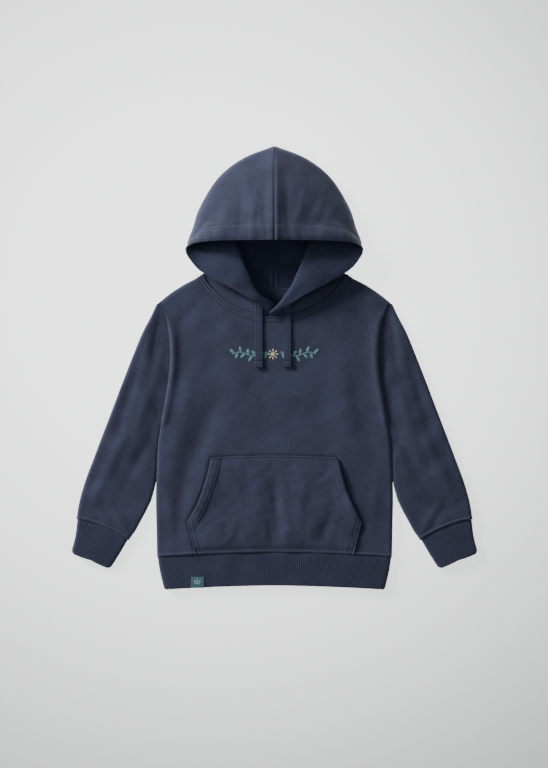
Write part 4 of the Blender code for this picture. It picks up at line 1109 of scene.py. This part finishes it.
def hood_relief(points, sections, steps, side, sign):
    """How far the hem, the seams and the small folds stand out of one side of the hood."""
    seam, y = points[..., 0], points[..., 1]
    x = seam * sign
    from_rim = arcs_from_rim(points)
    upper = ease(steps, *UPPER_STEPS)
    crown = ease(sections, *CROWN_STARTS)[:, None] * ease(steps, *CROWN_STEPS)
    hemmed = crown * ease(sections, *HEMMED_STARTS)[:, None]
    hem = 1 - ease(from_rim, HEM_WIDTH - HEM_SLOPE[0], HEM_WIDTH + HEM_SLOPE[1])
    stand = HEM_HEIGHT * hem * ease(from_rim, *RIM_SLOPE) + hills(from_rim, [HEM_SEWING])
    outward = hemmed * (stand + hills(from_rim, [SIDE_SEWING]) * ease(seam, *SIDE_SEWING_STARTS))
    beyond = ease(from_rim, HEM_WIDTH + CREASES_END[0], HEM_WIDTH + CREASES_END[1])
    creases = waves(x, CREASE_STRETCH * y, [CROWN_CREASES])
    outward += crown * (relief(CROWN_FOLDS, x, y) + creases * (1 - beyond))
    outward += waves(x, y, HOOD_WAVES) * upper * ease(from_rim, *WAVES_START)
    outward += crown * hills(seam, [SEAM_RIDGE[side], SEAM_GROOVE])
    depth, breadth = CROWN_ROOF
    grown = ROOF_AT_RIM + (1 - ROOF_AT_RIM) * ease(from_rim, *ROOF_GROWS)
    outward -= crown * depth * (1 - np.exp(-seam / breadth)) * grown
    inner = (1 - ease(steps, *UNDER_STEPS)) * ease(sections, *INNER_RIDGE_STARTS)[:, None]
    return outward - inner * hills(seam, [INNER_RIDGE])


class HOODIE_OT_hood(bpy.types.Operator):
    """Make both sides of the hood and the stitches of its hem"""
    bl_idname = "hoodie.hood"
    bl_label = "Hood"

    def execute(self, context):
        inside = material_named("Navy Fleece Inside Painted Shade")
        rows = []
        for side, sign in (("left", 1), ("right", -1)):
            points, sections = hood_points(side, sign)
            rows.append(hem_stitches(points, sections, sign))
            points = points * (sign, 1, 1)
            sheet_piece("hood_" + side + "_cloth", "hood_" + side, points, FLEECE, "Navy Fleece",
                        (0.30, 0.38), ["front", "floor"], inside=inside,
                        faces_out=faces_up(points, *CROWN_PLACE))
        stitch_rows("hood_hem_topstitch", rows)
        return {'FINISHED'}


def hem_stitches(points, sections, sign):
    """The line of stitches that holds the hood's hem, over the crown."""
    from_rim = arcs_from_rim(points)
    normal = grid_normals(points)
    line = []
    for row in np.flatnonzero(sections > STITCHED_FROM):
        run = from_rim[row, ::-1]
        spot, up = (np.array([np.interp(HEM_WIDTH, run, grid[row, ::-1, k]) for k in range(3)])
                    for grid in (points, normal))
        line.append(spot + up * math.copysign(1, up[2]) * (FLEECE / 2 + THREAD_LIFT))
    return np.asarray(line) * (sign, 1, 1)


# ---------------------------------------------------------------- stitches
THREAD_LIFT = 0.05         # of a thread over the cloth that it lies on


def stitch_tree():
    """Geometry Nodes group: a run of stitches along each line of the mesh that it is given."""
    if "Topstitch" in bpy.data.node_groups:
        return bpy.data.node_groups["Topstitch"]
    tree = bpy.data.node_groups.new("Topstitch", "GeometryNodeTree")
    socket(tree, "Geometry", 'INPUT', "NodeSocketGeometry")
    for label, default in (("Pitch", 0.003), ("Stitch Length", 0.0022), ("Thread", 0.0007)):
        socket(tree, label, 'INPUT', "NodeSocketFloat", default)
    socket(tree, "Material", 'INPUT', "NodeSocketMaterial")
    socket(tree, "Geometry", 'OUTPUT', "NodeSocketGeometry")

    def node(kind, **inputs):
        made = tree.nodes.new(kind)
        for label, value in inputs.items():
            plug = made.inputs[label.replace("_", " ")]
            if isinstance(value, bpy.types.NodeSocket):
                tree.links.new(value, plug)
            else:
                plug.default_value = value
        return made

    given = tree.nodes.new("NodeGroupInput").outputs
    curve = node("GeometryNodeMeshToCurve", Mesh=given["Geometry"])
    spots = tree.nodes.new("GeometryNodeCurveToPoints")
    spots.mode = 'LENGTH'
    tree.links.new(curve.outputs[0], spots.inputs["Curve"])
    tree.links.new(given["Pitch"], spots.inputs["Length"])
    bead = node("GeometryNodeMeshUVSphere", Segments=6, Rings=4, Radius=0.5)
    size = node("ShaderNodeCombineXYZ", X=given["Thread"], Y=given["Thread"],
                Z=given["Stitch Length"])
    turn = tree.nodes.new("FunctionNodeAlignRotationToVector")
    turn.axis = 'Z'
    tree.links.new(spots.outputs["Tangent"], turn.inputs["Vector"])
    placed = node("GeometryNodeInstanceOnPoints", Points=spots.outputs["Points"],
                  Instance=bead.outputs["Mesh"], Rotation=turn.outputs[0], Scale=size.outputs[0])
    real = node("GeometryNodeRealizeInstances", Geometry=placed.outputs[0])
    smooth = node("GeometryNodeSetShadeSmooth", Geometry=real.outputs[0])
    dressed = node("GeometryNodeSetMaterial", Geometry=smooth.outputs[0],
                   Material=given["Material"])
    output = tree.nodes.new("NodeGroupOutput")
    tree.links.new(dressed.outputs[0], output.inputs[0])
    return tree


def stitch_rows(name, lines, pitch=3.0, length=2.3, thread=0.75, material="Navy Thread",
                slot="navy_tape"):
    """Stitches along lines of points, as one piece."""
    mesh = bpy.data.meshes.new(name)
    points = np.concatenate(lines) * MM
    edges, first = [], 0
    for line in lines:
        edges += [(first + k, first + k + 1) for k in range(len(line) - 1)]
        first += len(line)
    mesh.from_pydata([tuple(p) for p in points], edges, [])
    piece = new_object(name, mesh)
    run = piece.modifiers.new("stitches", 'NODES')
    run.node_group = stitch_tree()
    values = {"Pitch": pitch * MM, "Stitch Length": length * MM, "Thread": thread * MM,
              "Material": material_named(material)}
    for item in run.node_group.interface.items_tree:
        if item.item_type == 'SOCKET' and item.in_out == 'INPUT' and item.name in values:
            run[item.identifier] = values[item.name]
    bake(piece)
    finish(piece, slot)


# ---------------------------------------------------------------- pocket
POCKET_FOLDS = (
    (2.0, -200.0, 93.0, 50.0, 7.0, -1.5),
    (-6.0, -228.0, 100.0, 26.0, 5.0, -1.2),
    (16.0, -206.0, 96.0, 46.0, 7.0, 1.0),
    (70.0, -228.0, 72.0, 24.0, 8.0, -1.9),
    (-62.0, -236.0, 66.0, 22.0, 6.0, 1.1),
    (-38.0, -176.0, 80.0, 34.0, 9.0, -0.9),
    (36.0, -190.0, 84.0, 40.0, 9.0, 1.1))
POCKET_WAVES = ((44.0, 0.6, 21), (17.0, 0.14, 22))         # size, height and seed
POCKET_SPLIT = 0.3         # share of the grid's height at its corner, where the opening begins
POCKET_CROWDING = 1.15     # how its columns crowd towards its sides
POCKET_PUFF = (1.3, 30.0)  # how far it swells, and how far in from its edges it does so wholly
FOLDS_START = (2.0, 20.0)  # distances from its edges between which its folds appear
OPENING_LIFT = (2.4, 15.0)         # height and breadth of the swell along an opening,
LIFT_STARTS = (18.0, 22.0)  # and distances from its top edge and lower side where that is whole
OPENING_HEM = 0.9          # how far an opening's turned hem stands out,
HEM_STARTS = (0.3, 2.0)    # the distances from the opening between which it rises
HEM_FALLS = (13.6, 15.6)   # and falls,
HEM_FOOT = (2.0, 12.0)     # and the heights over the hem seam between which it appears
SEWING_STOP = 1.0          # how far before a corner the stitches stop
# Grooves under the stitches: depth, distance from the edge and breadth
OPENING_SEWING = [(0.65, offset, 0.9) for offset in POCKET_OPENING_STITCHES]
LOWER_SEWING = [(0.5, offset, 0.9) for offset in POCKET_SIDE_STITCHES]
TOP_SEWING = [(0.6, POCKET_TOP_STITCH, 0.9)]


def pocket_height(x, y):
    """Middle of the pocket's wall at x, y."""
    lines = (POCKET_TOP, POCKET_OPENING, POCKET_LOWER)
    from_top, from_opening, from_lower = (distance(np.abs(x), y, line) for line in lines)
    from_bottom = y - hem_y(x)
    inside = np.minimum(np.minimum(from_top, from_lower), from_bottom)
    puff, reach = POCKET_PUFF
    height, breadth = OPENING_LIFT
    lifted = height * hill(from_opening, 0, breadth)
    lifted *= ease(from_top, 0, LIFT_STARTS[0]) * ease(from_lower, 0, LIFT_STARTS[1])
    hem = (1 - ease(from_opening, *HEM_FALLS)) * ease(from_opening, *HEM_STARTS)
    hem = OPENING_HEM * hem * ease(from_bottom, *HEM_FOOT)
    sunk = hills(from_opening, OPENING_SEWING) + hills(from_lower, LOWER_SEWING)
    sunk += hills(from_top, TOP_SEWING) + tucked(x, y)
    folds = waves(x, y, POCKET_WAVES) + relief(POCKET_FOLDS, x, y)
    base = front_base(x, y) + (FLEECE + POCKET_CLOTH) / 2 + hills(from_bottom, HEM_HILLS)
    swell = puff * ease(inside, 0, reach) + lifted + hem
    return base + swell - sunk + folds * ease(inside, *FOLDS_START)


def pocket_plan():
    """Grid of the pocket's plan points, both halves."""
    u, v = np.meshgrid(1 - (1 - np.linspace(0, 1, 76)) ** POCKET_CROWDING, np.linspace(0, 1, 100))
    lower = along(POCKET_SIDE[:3], np.clip(v / POCKET_SPLIT, 0, 1))
    upper = along(POCKET_SIDE[2:], np.clip((v - POCKET_SPLIT) / (1 - POCKET_SPLIT), 0, 1))
    middle_y = POCKET_BOTTOM_Y + (POCKET_TOP_Y - POCKET_BOTTOM_Y) * v
    edges = (bowed(u, POCKET_BOTTOM_Y, POCKET_SIDE[0]), bowed(u, POCKET_TOP_Y, POCKET_SIDE[-1]),
             np.stack([np.zeros_like(v), middle_y], -1),
             np.where((v < POCKET_SPLIT)[..., None], lower, upper))
    corners = ((0, POCKET_BOTTOM_Y), POCKET_SIDE[0], (0, POCKET_TOP_Y), POCKET_SIDE[-1])
    return both_halves(patch(u, v, edges, corners))


def pocket_stitches():
    """Lines of the pocket's topstitching, both sides."""
    end_x, end_y = POCKET_SIDE[-1]
    lines = []
    for offset in POCKET_OPENING_STITCHES:
        run = beside(POCKET_OPENING, offset)
        lines.append(run[run[:, 1] < end_y - SEWING_STOP])
    for offset in POCKET_SIDE_STITCHES:
        run = beside(POCKET_LOWER, offset)
        lines.append(run[run[:, 1] > hem_y(run[:, 0]) + SEWING_STOP])
    lines = [line * (sign, 1) for line in lines for sign in (1, -1)]
    across = both_halves(POCKET_TOP)
    lines.append(across[np.abs(across[:, 0]) < end_x - SEWING_STOP] - (0, POCKET_TOP_STITCH))
    lift = POCKET_CLOTH / 2 + THREAD_LIFT
    return [np.column_stack([line, pocket_height(*line.T) + lift]) for line in lines]


class HOODIE_OT_pocket(bpy.types.Operator):
    """Make the kangaroo pocket and its topstitching"""
    bl_idname = "hoodie.pocket"
    bl_label = "Kangaroo Pocket"

    def execute(self, context):
        plan = pocket_plan()
        points = np.dstack([plan, pocket_height(plan[..., 0], plan[..., 1])])
        sheet_piece("pocket", "kangaroo_pocket", points, POCKET_CLOTH, "Navy Fleece",
                    (0.245, 0.136), ["front"])
        stitch_rows("pocket_topstitch", pocket_stitches(), length=2.6, thread=0.9,
                    material="Painted Shade Thread")
        return {'FINISHED'}


# ---------------------------------------------------------------- drawcords, label and embroidery
TAPE_STEP = 1.2            # from one ring of a tape to the next
TAPE_GROOVES = ((-0.32, 2.6, 0.55), (-0.32, -2.6, 0.55), (-0.12, 0.0, 0.5))  # along its face
TAPE_FLANK = (             # in from its edge, share of its half height
    (0.6, 0.94), (0.28, 0.8), (0.08, 0.5), (0.0, 0.0))
FOLDED_END = (0.5, 7.8, 9.2)       # how much thicker its end is, and how far up it is so
END_SEAM = (-0.6, 9.9, 0.8)        # the stitches that hold it: change in thickness, place, breadth
END_TAPER = (0.35, -0.4, 1.2)      # thickness at the very end, and where it grows to the whole
END_BREADTH = (0.03, 9.0, 10.0)    # how much wider its end is, and how far up it is so
END_STITCHES = 6           # corners of the line of stitches across its end
END_STITCH_LIFT = 0.2      # of that line over the tape's middle
TAPE_LEAN = 0.7            # how much of a tape's slope its ends lean by


def tape_profile():
    """Outline of a tape's section: its sideways place and its height over the middle."""
    width, height = TAPE
    inner = np.linspace(-1, 1, 25)[1:-1] * (width / 2 - TAPE_FLANK[0][0])
    face = np.stack([inner, height / 2 + hills(inner, TAPE_GROOVES)], 1)
    flank = np.array(TAPE_FLANK)
    edge = np.stack([width / 2 - flank[:, 0], flank[:, 1] * height / 2], 1)
    return np.concatenate([edge[::-1], face[::-1], edge * (-1, 1), edge[-2::-1] * (-1, -1),
                           edge[:-1] * (1, -1)])


def tape_rings(route):
    """Rings of points round a tape along its route, and its middle line."""
    rough = along(route, np.linspace(0, 1, 60))
    line = along(route, np.linspace(0, 1, int(run_length(rough[:, :3])[-1] / TAPE_STEP)))
    outward = math.copysign(1, route[0][0])
    width, height = TAPE
    profile = tape_profile()
    run = run_length(line[:, :3])
    slope = np.gradient(line[:, 2]) / np.maximum(np.abs(np.gradient(line[:, 1])), 0.01)
    rings = []
    for (x, y, z, drop), left, tilt in zip(line, run[-1] - run, slope):
        thick = 1 + FOLDED_END[0] * (1 - ease(left, *FOLDED_END[1:])) + hills(left, [END_SEAM])
        thick *= END_TAPER[0] + (1 - END_TAPER[0]) * ease(left, *END_TAPER[1:])
        sideways = profile[:, 0] * (1 + END_BREADTH[0] * (1 - ease(left, *END_BREADTH[1:])))
        rise = profile[:, 1] * thick
        level = z + (thick - 1) * height / 2 + rise - sideways / width * drop * outward
        rings.append(np.stack([x + sideways, y + rise * tilt * TAPE_LEAN, level], 1))
    return np.asarray(rings), line[:, :3]


def tape_piece(name, route):
    """A flat tape swept along its route, its lower end folded over and stitched."""
    rings, line = tape_rings(route)
    rows, count = rings.shape[:2]
    faces = [[row * count + k, row * count + (k + 1) % count, (row + 1) * count + (k + 1) % count,
              (row + 1) * count + k] for row in range(rows - 1) for k in range(count)]
    faces += [list(range(count))[::-1], [(rows - 1) * count + k for k in range(count)]]
    points = rings.reshape(-1, 3) * MM
    mesh = bpy.data.meshes.new(name)
    mesh.from_pydata([tuple(point) for point in points], [], faces)
    map_cloth(mesh, points[:, :2])
    face_outward(mesh)
    mesh.shade_smooth()
    mesh.materials.append(material_named("Navy Tape"))
    return new_object(name, mesh), line


class HOODIE_OT_drawcords(bpy.types.Operator):
    """Make the two flat drawcords"""
    bl_idname = "hoodie.drawcords"
    bl_label = "Drawcords"

    def execute(self, context):
        across = np.linspace(-TAPE[0] / 2 + 1, TAPE[0] / 2 - 1, END_STITCHES)
        rows = []
        for side, route in (("left", CORD_LEFT), ("right", CORD_RIGHT)):
            piece, line = tape_piece("drawcord_" + side + "_tape", route)
            finish(piece, "navy_tape", "drawcord_" + side)
            row = np.repeat(line[-1:], END_STITCHES, axis=0)
            row[:, 0] += across
            row[:, 1:] += (END_SEAM[1], END_STITCH_LIFT)
            rows.append(row)
        stitch_rows("drawcord_stitches", rows, pitch=1.6, length=1.3, thread=0.8,
                    material="Painted Shade Thread")
        return {'FINISHED'}


PETAL_POINT = 1.2          # how pointed a petal's ends are
PETAL_HEIGHT = 0.6         # of its middle over the cloth
SATIN_WALL = 0.5


def petal(middle, length, breadth, turn):
    """Plan grid of one pointed leaf of satin stitch, and how high each of its points stands."""
    run, side = np.meshgrid(np.linspace(-1, 1, 15), np.linspace(-1, 1, 7))
    across = side * breadth / 2 * np.sqrt(np.clip(1 - run ** 2, 0, 1)) ** PETAL_POINT
    cosine, sine = math.cos(math.radians(turn)), math.sin(math.radians(turn))
    x = middle[0] + run * length / 2 * cosine - across * sine
    y = middle[1] + run * length / 2 * sine + across * cosine
    return x, y, PETAL_HEIGHT * np.sqrt(np.clip((1 - side ** 2) * (1 - run ** 2), 0, 1))


def satin_piece(name, petals, material, level_at):
    """Join petals of satin stitch into one piece on the cloth whose face level_at gives."""
    whole = bmesh.new()
    for x, y, height in petals:
        mesh = grid_mesh("petal", np.dstack([x, y, level_at(x, y) + height]))
        face_outward(mesh, PETAL_WELD)
        whole.from_mesh(mesh)
        bpy.data.meshes.remove(mesh)
    mesh = bpy.data.meshes.new(name)
    whole.to_mesh(mesh)
    whole.free()
    places = np.empty(len(mesh.vertices) * 3)
    mesh.vertices.foreach_get("co", places)
    map_cloth(mesh, places.reshape(-1, 3)[:, :2])
    mesh.shade_smooth()
    piece = new_object(name, mesh)
    wall = piece.modifiers.new("wall", 'SOLIDIFY')
    wall.thickness = SATIN_WALL * MM
    bake(piece)
    piece.data.materials.clear()
    piece.data.materials.append(material_named(material))
    finish(piece, "teal_label")


LABEL_LIFT = 0.5           # of its middle over the band, and of its stitches over its middle
LABEL_CURL = 0.2           # how far its turned edge moves back under it
LABEL_SEWING = (1.0, 12.0)  # how far in from its edges its stitches lie, and how long they run
SPRIG_LIFT = 0.2           # of the sprig over its face
LABEL_TURN = (1.6, 1.6)    # how much of its lower edge is turned down, and how steeply
LABEL_BORDER = (0.25, 0.8, 1.6)    # height of its middle over its woven border, and between where
SPRIG_LEAVES = (           # of the label: x and y off its middle, length, breadth, direction
    (2.3, -1.4, 5.6, 2.3, 32), (2.3, 1.6, 5.6, 2.3, 32), (-2.3, -1.4, 5.6, 2.3, -32),
    (-2.3, 1.6, 5.6, 2.3, -32), (0.0, 0.4, 9.0, 1.2, 90), (0.0, 5.0, 3.4, 1.8, 90))


class HOODIE_OT_label(bpy.types.Operator):
    """Make the small woven label that is sewn to the hem band"""
    bl_idname = "hoodie.label"
    bl_label = "Hem Label"

    def execute(self, context):
        width, height, thickness = LABEL
        middle_x, middle_y = LABEL_CENTRE
        level = BAND_LEVELS[1] + RIB_WALL / 2 + LABEL_LIFT
        x, run = np.meshgrid(np.linspace(-width / 2, width / 2, 16) + middle_x,
                             np.linspace(0, height, 18))
        y = middle_y + height / 2 - run
        turned = np.clip(run - (height - LABEL_TURN[0]), 0, None)
        border = np.minimum(np.minimum(x - x.min(), x.max() - x), run)
        rise = LABEL_BORDER[0] * ease(border, *LABEL_BORDER[1:]) - turned ** LABEL_TURN[1]
        points = np.dstack([x, y + turned * LABEL_CURL, level + rise])
        sheet_piece("woven_label", "hem_label", points, thickness, "Teal Label", (0.018, 0.0165),
                    ["hem_rib"], rim=0.2)
        inset, length = LABEL_SEWING
        rows = [np.array([(edge, y[0, 0] - inset - down, level + LABEL_LIFT)
                          for down in np.linspace(0, length, 8)])
                for edge in (x[0, 0] + inset, x[0, -1] - inset)]
        stitch_rows("label_stitches", rows, pitch=2.0, length=1.4, thread=0.4,
                    material="Teal Embroidery", slot="teal_label")
        leaves = [petal((middle_x + right, middle_y + up), length, breadth, turn)
                  for right, up, length, breadth, turn in SPRIG_LEAVES]
        satin_piece("label_sprig", leaves, "Pale Embroidery",
                    lambda x, y: np.full(x.shape, level + thickness / 2 + SPRIG_LIFT))
        return {'FINISHED'}


VINE_REACH = 61.0          # how far the vine runs either way
VINE_GAP = 8.5             # left free in the middle for the sun
VINE_INSETS = (2.5, 2.0)   # how far inside the gap and the reach its petals may start and end
VINE_Y = 18.5
VINE_WAVE = (2.6, 6.2)     # height and length of its stem's waves
STEM_PETAL = (7.2, 2.2)    # length and breadth
LEAF_PETAL = (8.6, 4.6)
LEAF_STEP = 5.0            # from one leaf to the next
LEAF_LEAN = 62             # degrees from the stem
LEAF_OFF_STEM = (4.0, 4.9)  # from the stem to the middle of a leaf, along and across the chest
SUN_CENTRE = (-1.8, 18.5)
SUN_MIDDLE = (6.0, 5.6)    # its breadth and height
SUN_RAYS = 8
RAY_PETAL = (4.6, 1.9)
RAY_REACH = 5.6            # from the sun's middle to the middle of a ray


def vine_y(x):
    """Height of the vine's stem at x."""
    return VINE_Y + VINE_WAVE[0] * math.sin(x / VINE_WAVE[1])


def vine():
    """Petals of a wavy stem with leaves on alternate sides, either way from the middle."""
    petals = []
    for sign in (1, -1):
        for k, x in enumerate(np.arange(VINE_GAP + VINE_INSETS[0], VINE_REACH - VINE_INSETS[1],
                                        LEAF_STEP)):
            slope = math.degrees(math.atan2(vine_y(x + 1) - vine_y(x - 1), 2))
            petals.append(petal((sign * x, vine_y(x)), *STEM_PETAL, sign * slope))
            lean = slope + (LEAF_LEAN if k % 2 else -LEAF_LEAN)
            leaf_x = x + LEAF_OFF_STEM[0] * math.cos(math.radians(lean))
            leaf_y = vine_y(x) + LEAF_OFF_STEM[1] * math.sin(math.radians(lean))
            petals.append(petal((sign * leaf_x, leaf_y), *LEAF_PETAL, sign * lean))
    return petals


def sun():
    """Petals of a small sun: its rays, then its middle."""
    x, y = SUN_CENTRE
    rays = [petal((x + RAY_REACH * math.cos(turn), y + RAY_REACH * math.sin(turn)), *RAY_PETAL,
                  math.degrees(turn))
            for turn in np.linspace(0, 2 * math.pi, SUN_RAYS + 1)[:-1]]
    return [*rays, petal(SUN_CENTRE, *SUN_MIDDLE, 0.0)]


class HOODIE_OT_embroidery(bpy.types.Operator):
    """Make an embroidered leafy vine either side of a small sun, across the chest"""
    bl_idname = "hoodie.embroidery"
    bl_label = "Chest Embroidery"

    def execute(self, context):
        satin_piece("vine_embroidery", vine(), "Teal Embroidery", front_face)
        satin_piece("sun_embroidery", sun(), "Yellow Embroidery", front_face)
        return {'FINISHED'}


# ---------------------------------------------------------------- studio
LAMP_SIZE = 0.8
KEY_PLACE = (-2.39, 1.80, 1.15)
SIDE_PLACE = (-3.0, 0.6, 0.78)
FLOOR_HALF = 3.0
GLOW_CENTRE = (-0.06, 0.08, 0.0)   # where the floor's painted glow is brightest
GLOW_RADII = (0.15, 0.85)  # between which its glow falls off
GLOW_SHARES = (1.0, 0.12)  # from this share to that one


def area_light(name, place, power, color):
    """A square light that points at the origin."""
    light = bpy.data.lights.new(name, 'AREA')
    light.size, light.energy, light.color = LAMP_SIZE, power, color
    lamp = new_object(name, light)
    lamp.location = place
    lamp.rotation_euler = Vector(place).to_track_quat('Z', 'Y').to_euler()


def paper_material(studio):
    """Pale paper with a painted glow of its own, brightest where the hoodie lies."""
    paper = bpy.data.materials.new("Pale Paper Painted Glow")
    paper.use_nodes = True
    tree = paper.node_tree
    shader = tree.nodes["Principled BSDF"]
    shader.inputs["Base Color"].default_value = (*studio.floor_color, 1)
    shader.inputs["Roughness"].default_value = 0.95
    shader.inputs["Specular IOR Level"].default_value = 0.1
    # painted glow: the paper shines by itself, though no lamp is under it
    shader.inputs["Emission Strength"].default_value = studio.painted_floor_glow
    off_centre = tree.nodes.new("ShaderNodeVectorMath")
    off_centre.operation = 'DISTANCE'
    off_centre.inputs[1].default_value = GLOW_CENTRE
    place = tree.nodes.new("ShaderNodeTexCoord").outputs["Object"]
    tree.links.new(place, off_centre.inputs[0])
    falloff = tree.nodes.new("ShaderNodeMapRange")
    falloff.interpolation_type = 'SMOOTHSTEP'
    labels = ("From Min", "From Max", "To Min", "To Max")
    for label, value in zip(labels, (*GLOW_RADII, *GLOW_SHARES)):
        falloff.inputs[label].default_value = value
    tree.links.new(off_centre.outputs["Value"], falloff.inputs["Value"])
    glow = tree.nodes.new("ShaderNodeVectorMath")
    glow.operation = 'SCALE'
    glow.inputs[0].default_value = (0.99, 1.0, 1.01)
    tree.links.new(falloff.outputs[0], glow.inputs["Scale"])
    tree.links.new(glow.outputs[0], shader.inputs["Emission Color"])
    return paper


def make_floor(paper):
    """The sheet of paper that the hoodie lies on."""
    mesh = bpy.data.meshes.new("floor")
    grid = bmesh.new()
    bmesh.ops.create_grid(grid, x_segments=1, y_segments=1, size=FLOOR_HALF)
    grid.to_mesh(mesh)
    grid.free()
    mesh.materials.append(paper)
    floor = new_object("floor", mesh)


def make_world(ambient):
    """Even, slightly cool light from all round."""
    world = bpy.data.worlds.new("studio")
    world.use_nodes = True
    background = world.node_tree.nodes["Background"]
    background.inputs["Color"].default_value = (0.93, 0.96, 1.0, 1)
    background.inputs["Strength"].default_value = ambient
    bpy.context.scene.world = world


def make_camera():
    """A camera straight above, far enough to see the hoodie almost without perspective."""
    camera = bpy.data.cameras.new("camera")
    camera.sensor_width = SENSOR
    camera.lens = SENSOR * CAMERA_HEIGHT / (PICTURE[1] * PIXEL)
    camera.clip_end = 30.0
    view = new_object("camera", camera)
    view.location = (VIEW_CENTRE[0] * MM, VIEW_CENTRE[1] * MM, CAMERA_HEIGHT * MM)
    bpy.context.scene.camera = view


class HOODIE_OT_stage(bpy.types.Operator):
    """Set up the floor, the lights, the world and the camera"""
    bl_idname = "hoodie.stage"
    bl_label = "Studio"

    def execute(self, context):
        studio = context.scene.hoodie_studio
        make_floor(paper_material(studio))
        make_world(studio.ambient)
        area_light("key", KEY_PLACE, studio.key_power, (1.0, 0.99, 0.985))
        area_light("side", SIDE_PLACE, studio.side_power, (0.98, 0.99, 1.0))
        make_camera()
        return {'FINISHED'}


# ---------------------------------------------------------------- add-on
def color_setting(name, description, default):
    """A colour that can be set in the panel."""
    return FloatVectorProperty(name=name, description=description, default=default, size=3,
                               min=0.0, max=1.0, subtype='COLOR')


def number_setting(name, description, default, unit='NONE'):
    """A number that can be set in the panel."""
    return FloatProperty(name=name, description=description, default=default, unit=unit)


class HOODIE_PG_colors(bpy.types.PropertyGroup):
    """Colours of the cloth and threads"""
    fleece: color_setting("Fleece", "Colour of the sweatshirt fleece", (0.0345, 0.0400, 0.0785))
    # inside: colour of the inner face, made darker and bluer than the fleece as painted shade of
    # the shadowed hood and body interiors
    inside: color_setting("Inside", "Colour of its brushed inner face", (0.0285, 0.0345, 0.072))
    rib: color_setting("Rib", "Colour of the rib bands", (0.027, 0.032, 0.066))
    tape: color_setting("Tape", "Colour of the drawcord tape", (0.035, 0.041, 0.079))
    thread: color_setting("Thread", "Colour of the sewing thread", (0.050, 0.058, 0.098))
    # near-black seam thread: painted shade of the neck, pocket and cord grooves
    painted_shade_thread: color_setting("Painted shade thread", "Colour of the thread sunk in seams",
                               (0.013, 0.015, 0.030))
    label: color_setting("Label", "Colour of the woven label", (0.062, 0.150, 0.190))
    teal_thread: color_setting("Teal thread", "Colour of the vine on the chest", (0.11, 0.23, 0.26))
    pale_thread: color_setting("Pale thread", "Colour of the label's sprig", (0.21, 0.36, 0.38))
    yellow_thread: color_setting("Yellow thread", "Colour of the chest's sun", (0.60, 0.56, 0.34))


class HOODIE_PG_sizes(bpy.types.PropertyGroup):
    """Sizes of the knit"""
    rib_pitch: number_setting("Rib pitch", "Distance from rib to rib", 0.0027, 'LENGTH')
    rib_height: number_setting("Rib height", "How far a rib stands out", 0.00026, 'LENGTH')


class HOODIE_PG_studio(bpy.types.PropertyGroup):
    """Light and floor of the studio"""
    floor_color: color_setting("Floor", "Colour of the floor", (0.72, 0.725, 0.73))
    # strength of the floor's painted glow, which shines though no lamp is under it
    painted_floor_glow: number_setting("Floor painted glow", "Strength of the light from under the floor", 2.15)
    key_power: number_setting("Key power", "Power of the light beyond the hood", 134.0, 'POWER')
    side_power: number_setting("Side power", "Power of the low light at the side", 42.0, 'POWER')
    ambient: number_setting("Ambient", "Strength of the light from all round", 0.33)


STEPS = ("stage", "drawcords", "body", "sleeves", "bands", "hood", "pocket", "label", "embroidery")


class HOODIE_PT_panel(bpy.types.Panel):
    """Lists the hoodie's pieces"""
    bl_label = "Toddler Hoodie"
    bl_idname = "HOODIE_PT_panel"
    bl_space_type = 'VIEW_3D'
    bl_region_type = 'UI'
    bl_category = "Hoodie"

    def draw(self, context):
        for step in STEPS:
            self.layout.operator("hoodie." + step)
        scene = context.scene
        for group in (scene.hoodie_colors, scene.hoodie_sizes, scene.hoodie_studio):
            for name in group.bl_rna.properties.keys():
                if name not in ("rna_type", "name"):
                    self.layout.prop(group, name)


CLASSES = (HOODIE_PG_colors, HOODIE_PG_sizes, HOODIE_PG_studio, HOODIE_OT_stage,
           HOODIE_OT_drawcords, HOODIE_OT_body, HOODIE_OT_sleeves, HOODIE_OT_bands,
           HOODIE_OT_hood, HOODIE_OT_pocket, HOODIE_OT_label, HOODIE_OT_embroidery,
           HOODIE_PT_panel)


def register():
    """Add the hoodie's classes and settings."""
    for cls in CLASSES:
        bpy.utils.register_class(cls)
    bpy.types.Scene.hoodie_colors = PointerProperty(type=HOODIE_PG_colors)
    bpy.types.Scene.hoodie_sizes = PointerProperty(type=HOODIE_PG_sizes)
    bpy.types.Scene.hoodie_studio = PointerProperty(type=HOODIE_PG_studio)


def unregister():
    """Remove the hoodie's classes and settings."""
    del bpy.types.Scene.hoodie_studio
    del bpy.types.Scene.hoodie_sizes
    del bpy.types.Scene.hoodie_colors
    for cls in reversed(CLASSES):
        bpy.utils.unregister_class(cls)


def main():
    """Make the studio and every piece."""
    register()
    for step in STEPS:
        getattr(bpy.ops.hoodie, step)()


if __name__ == "__main__":
    main()
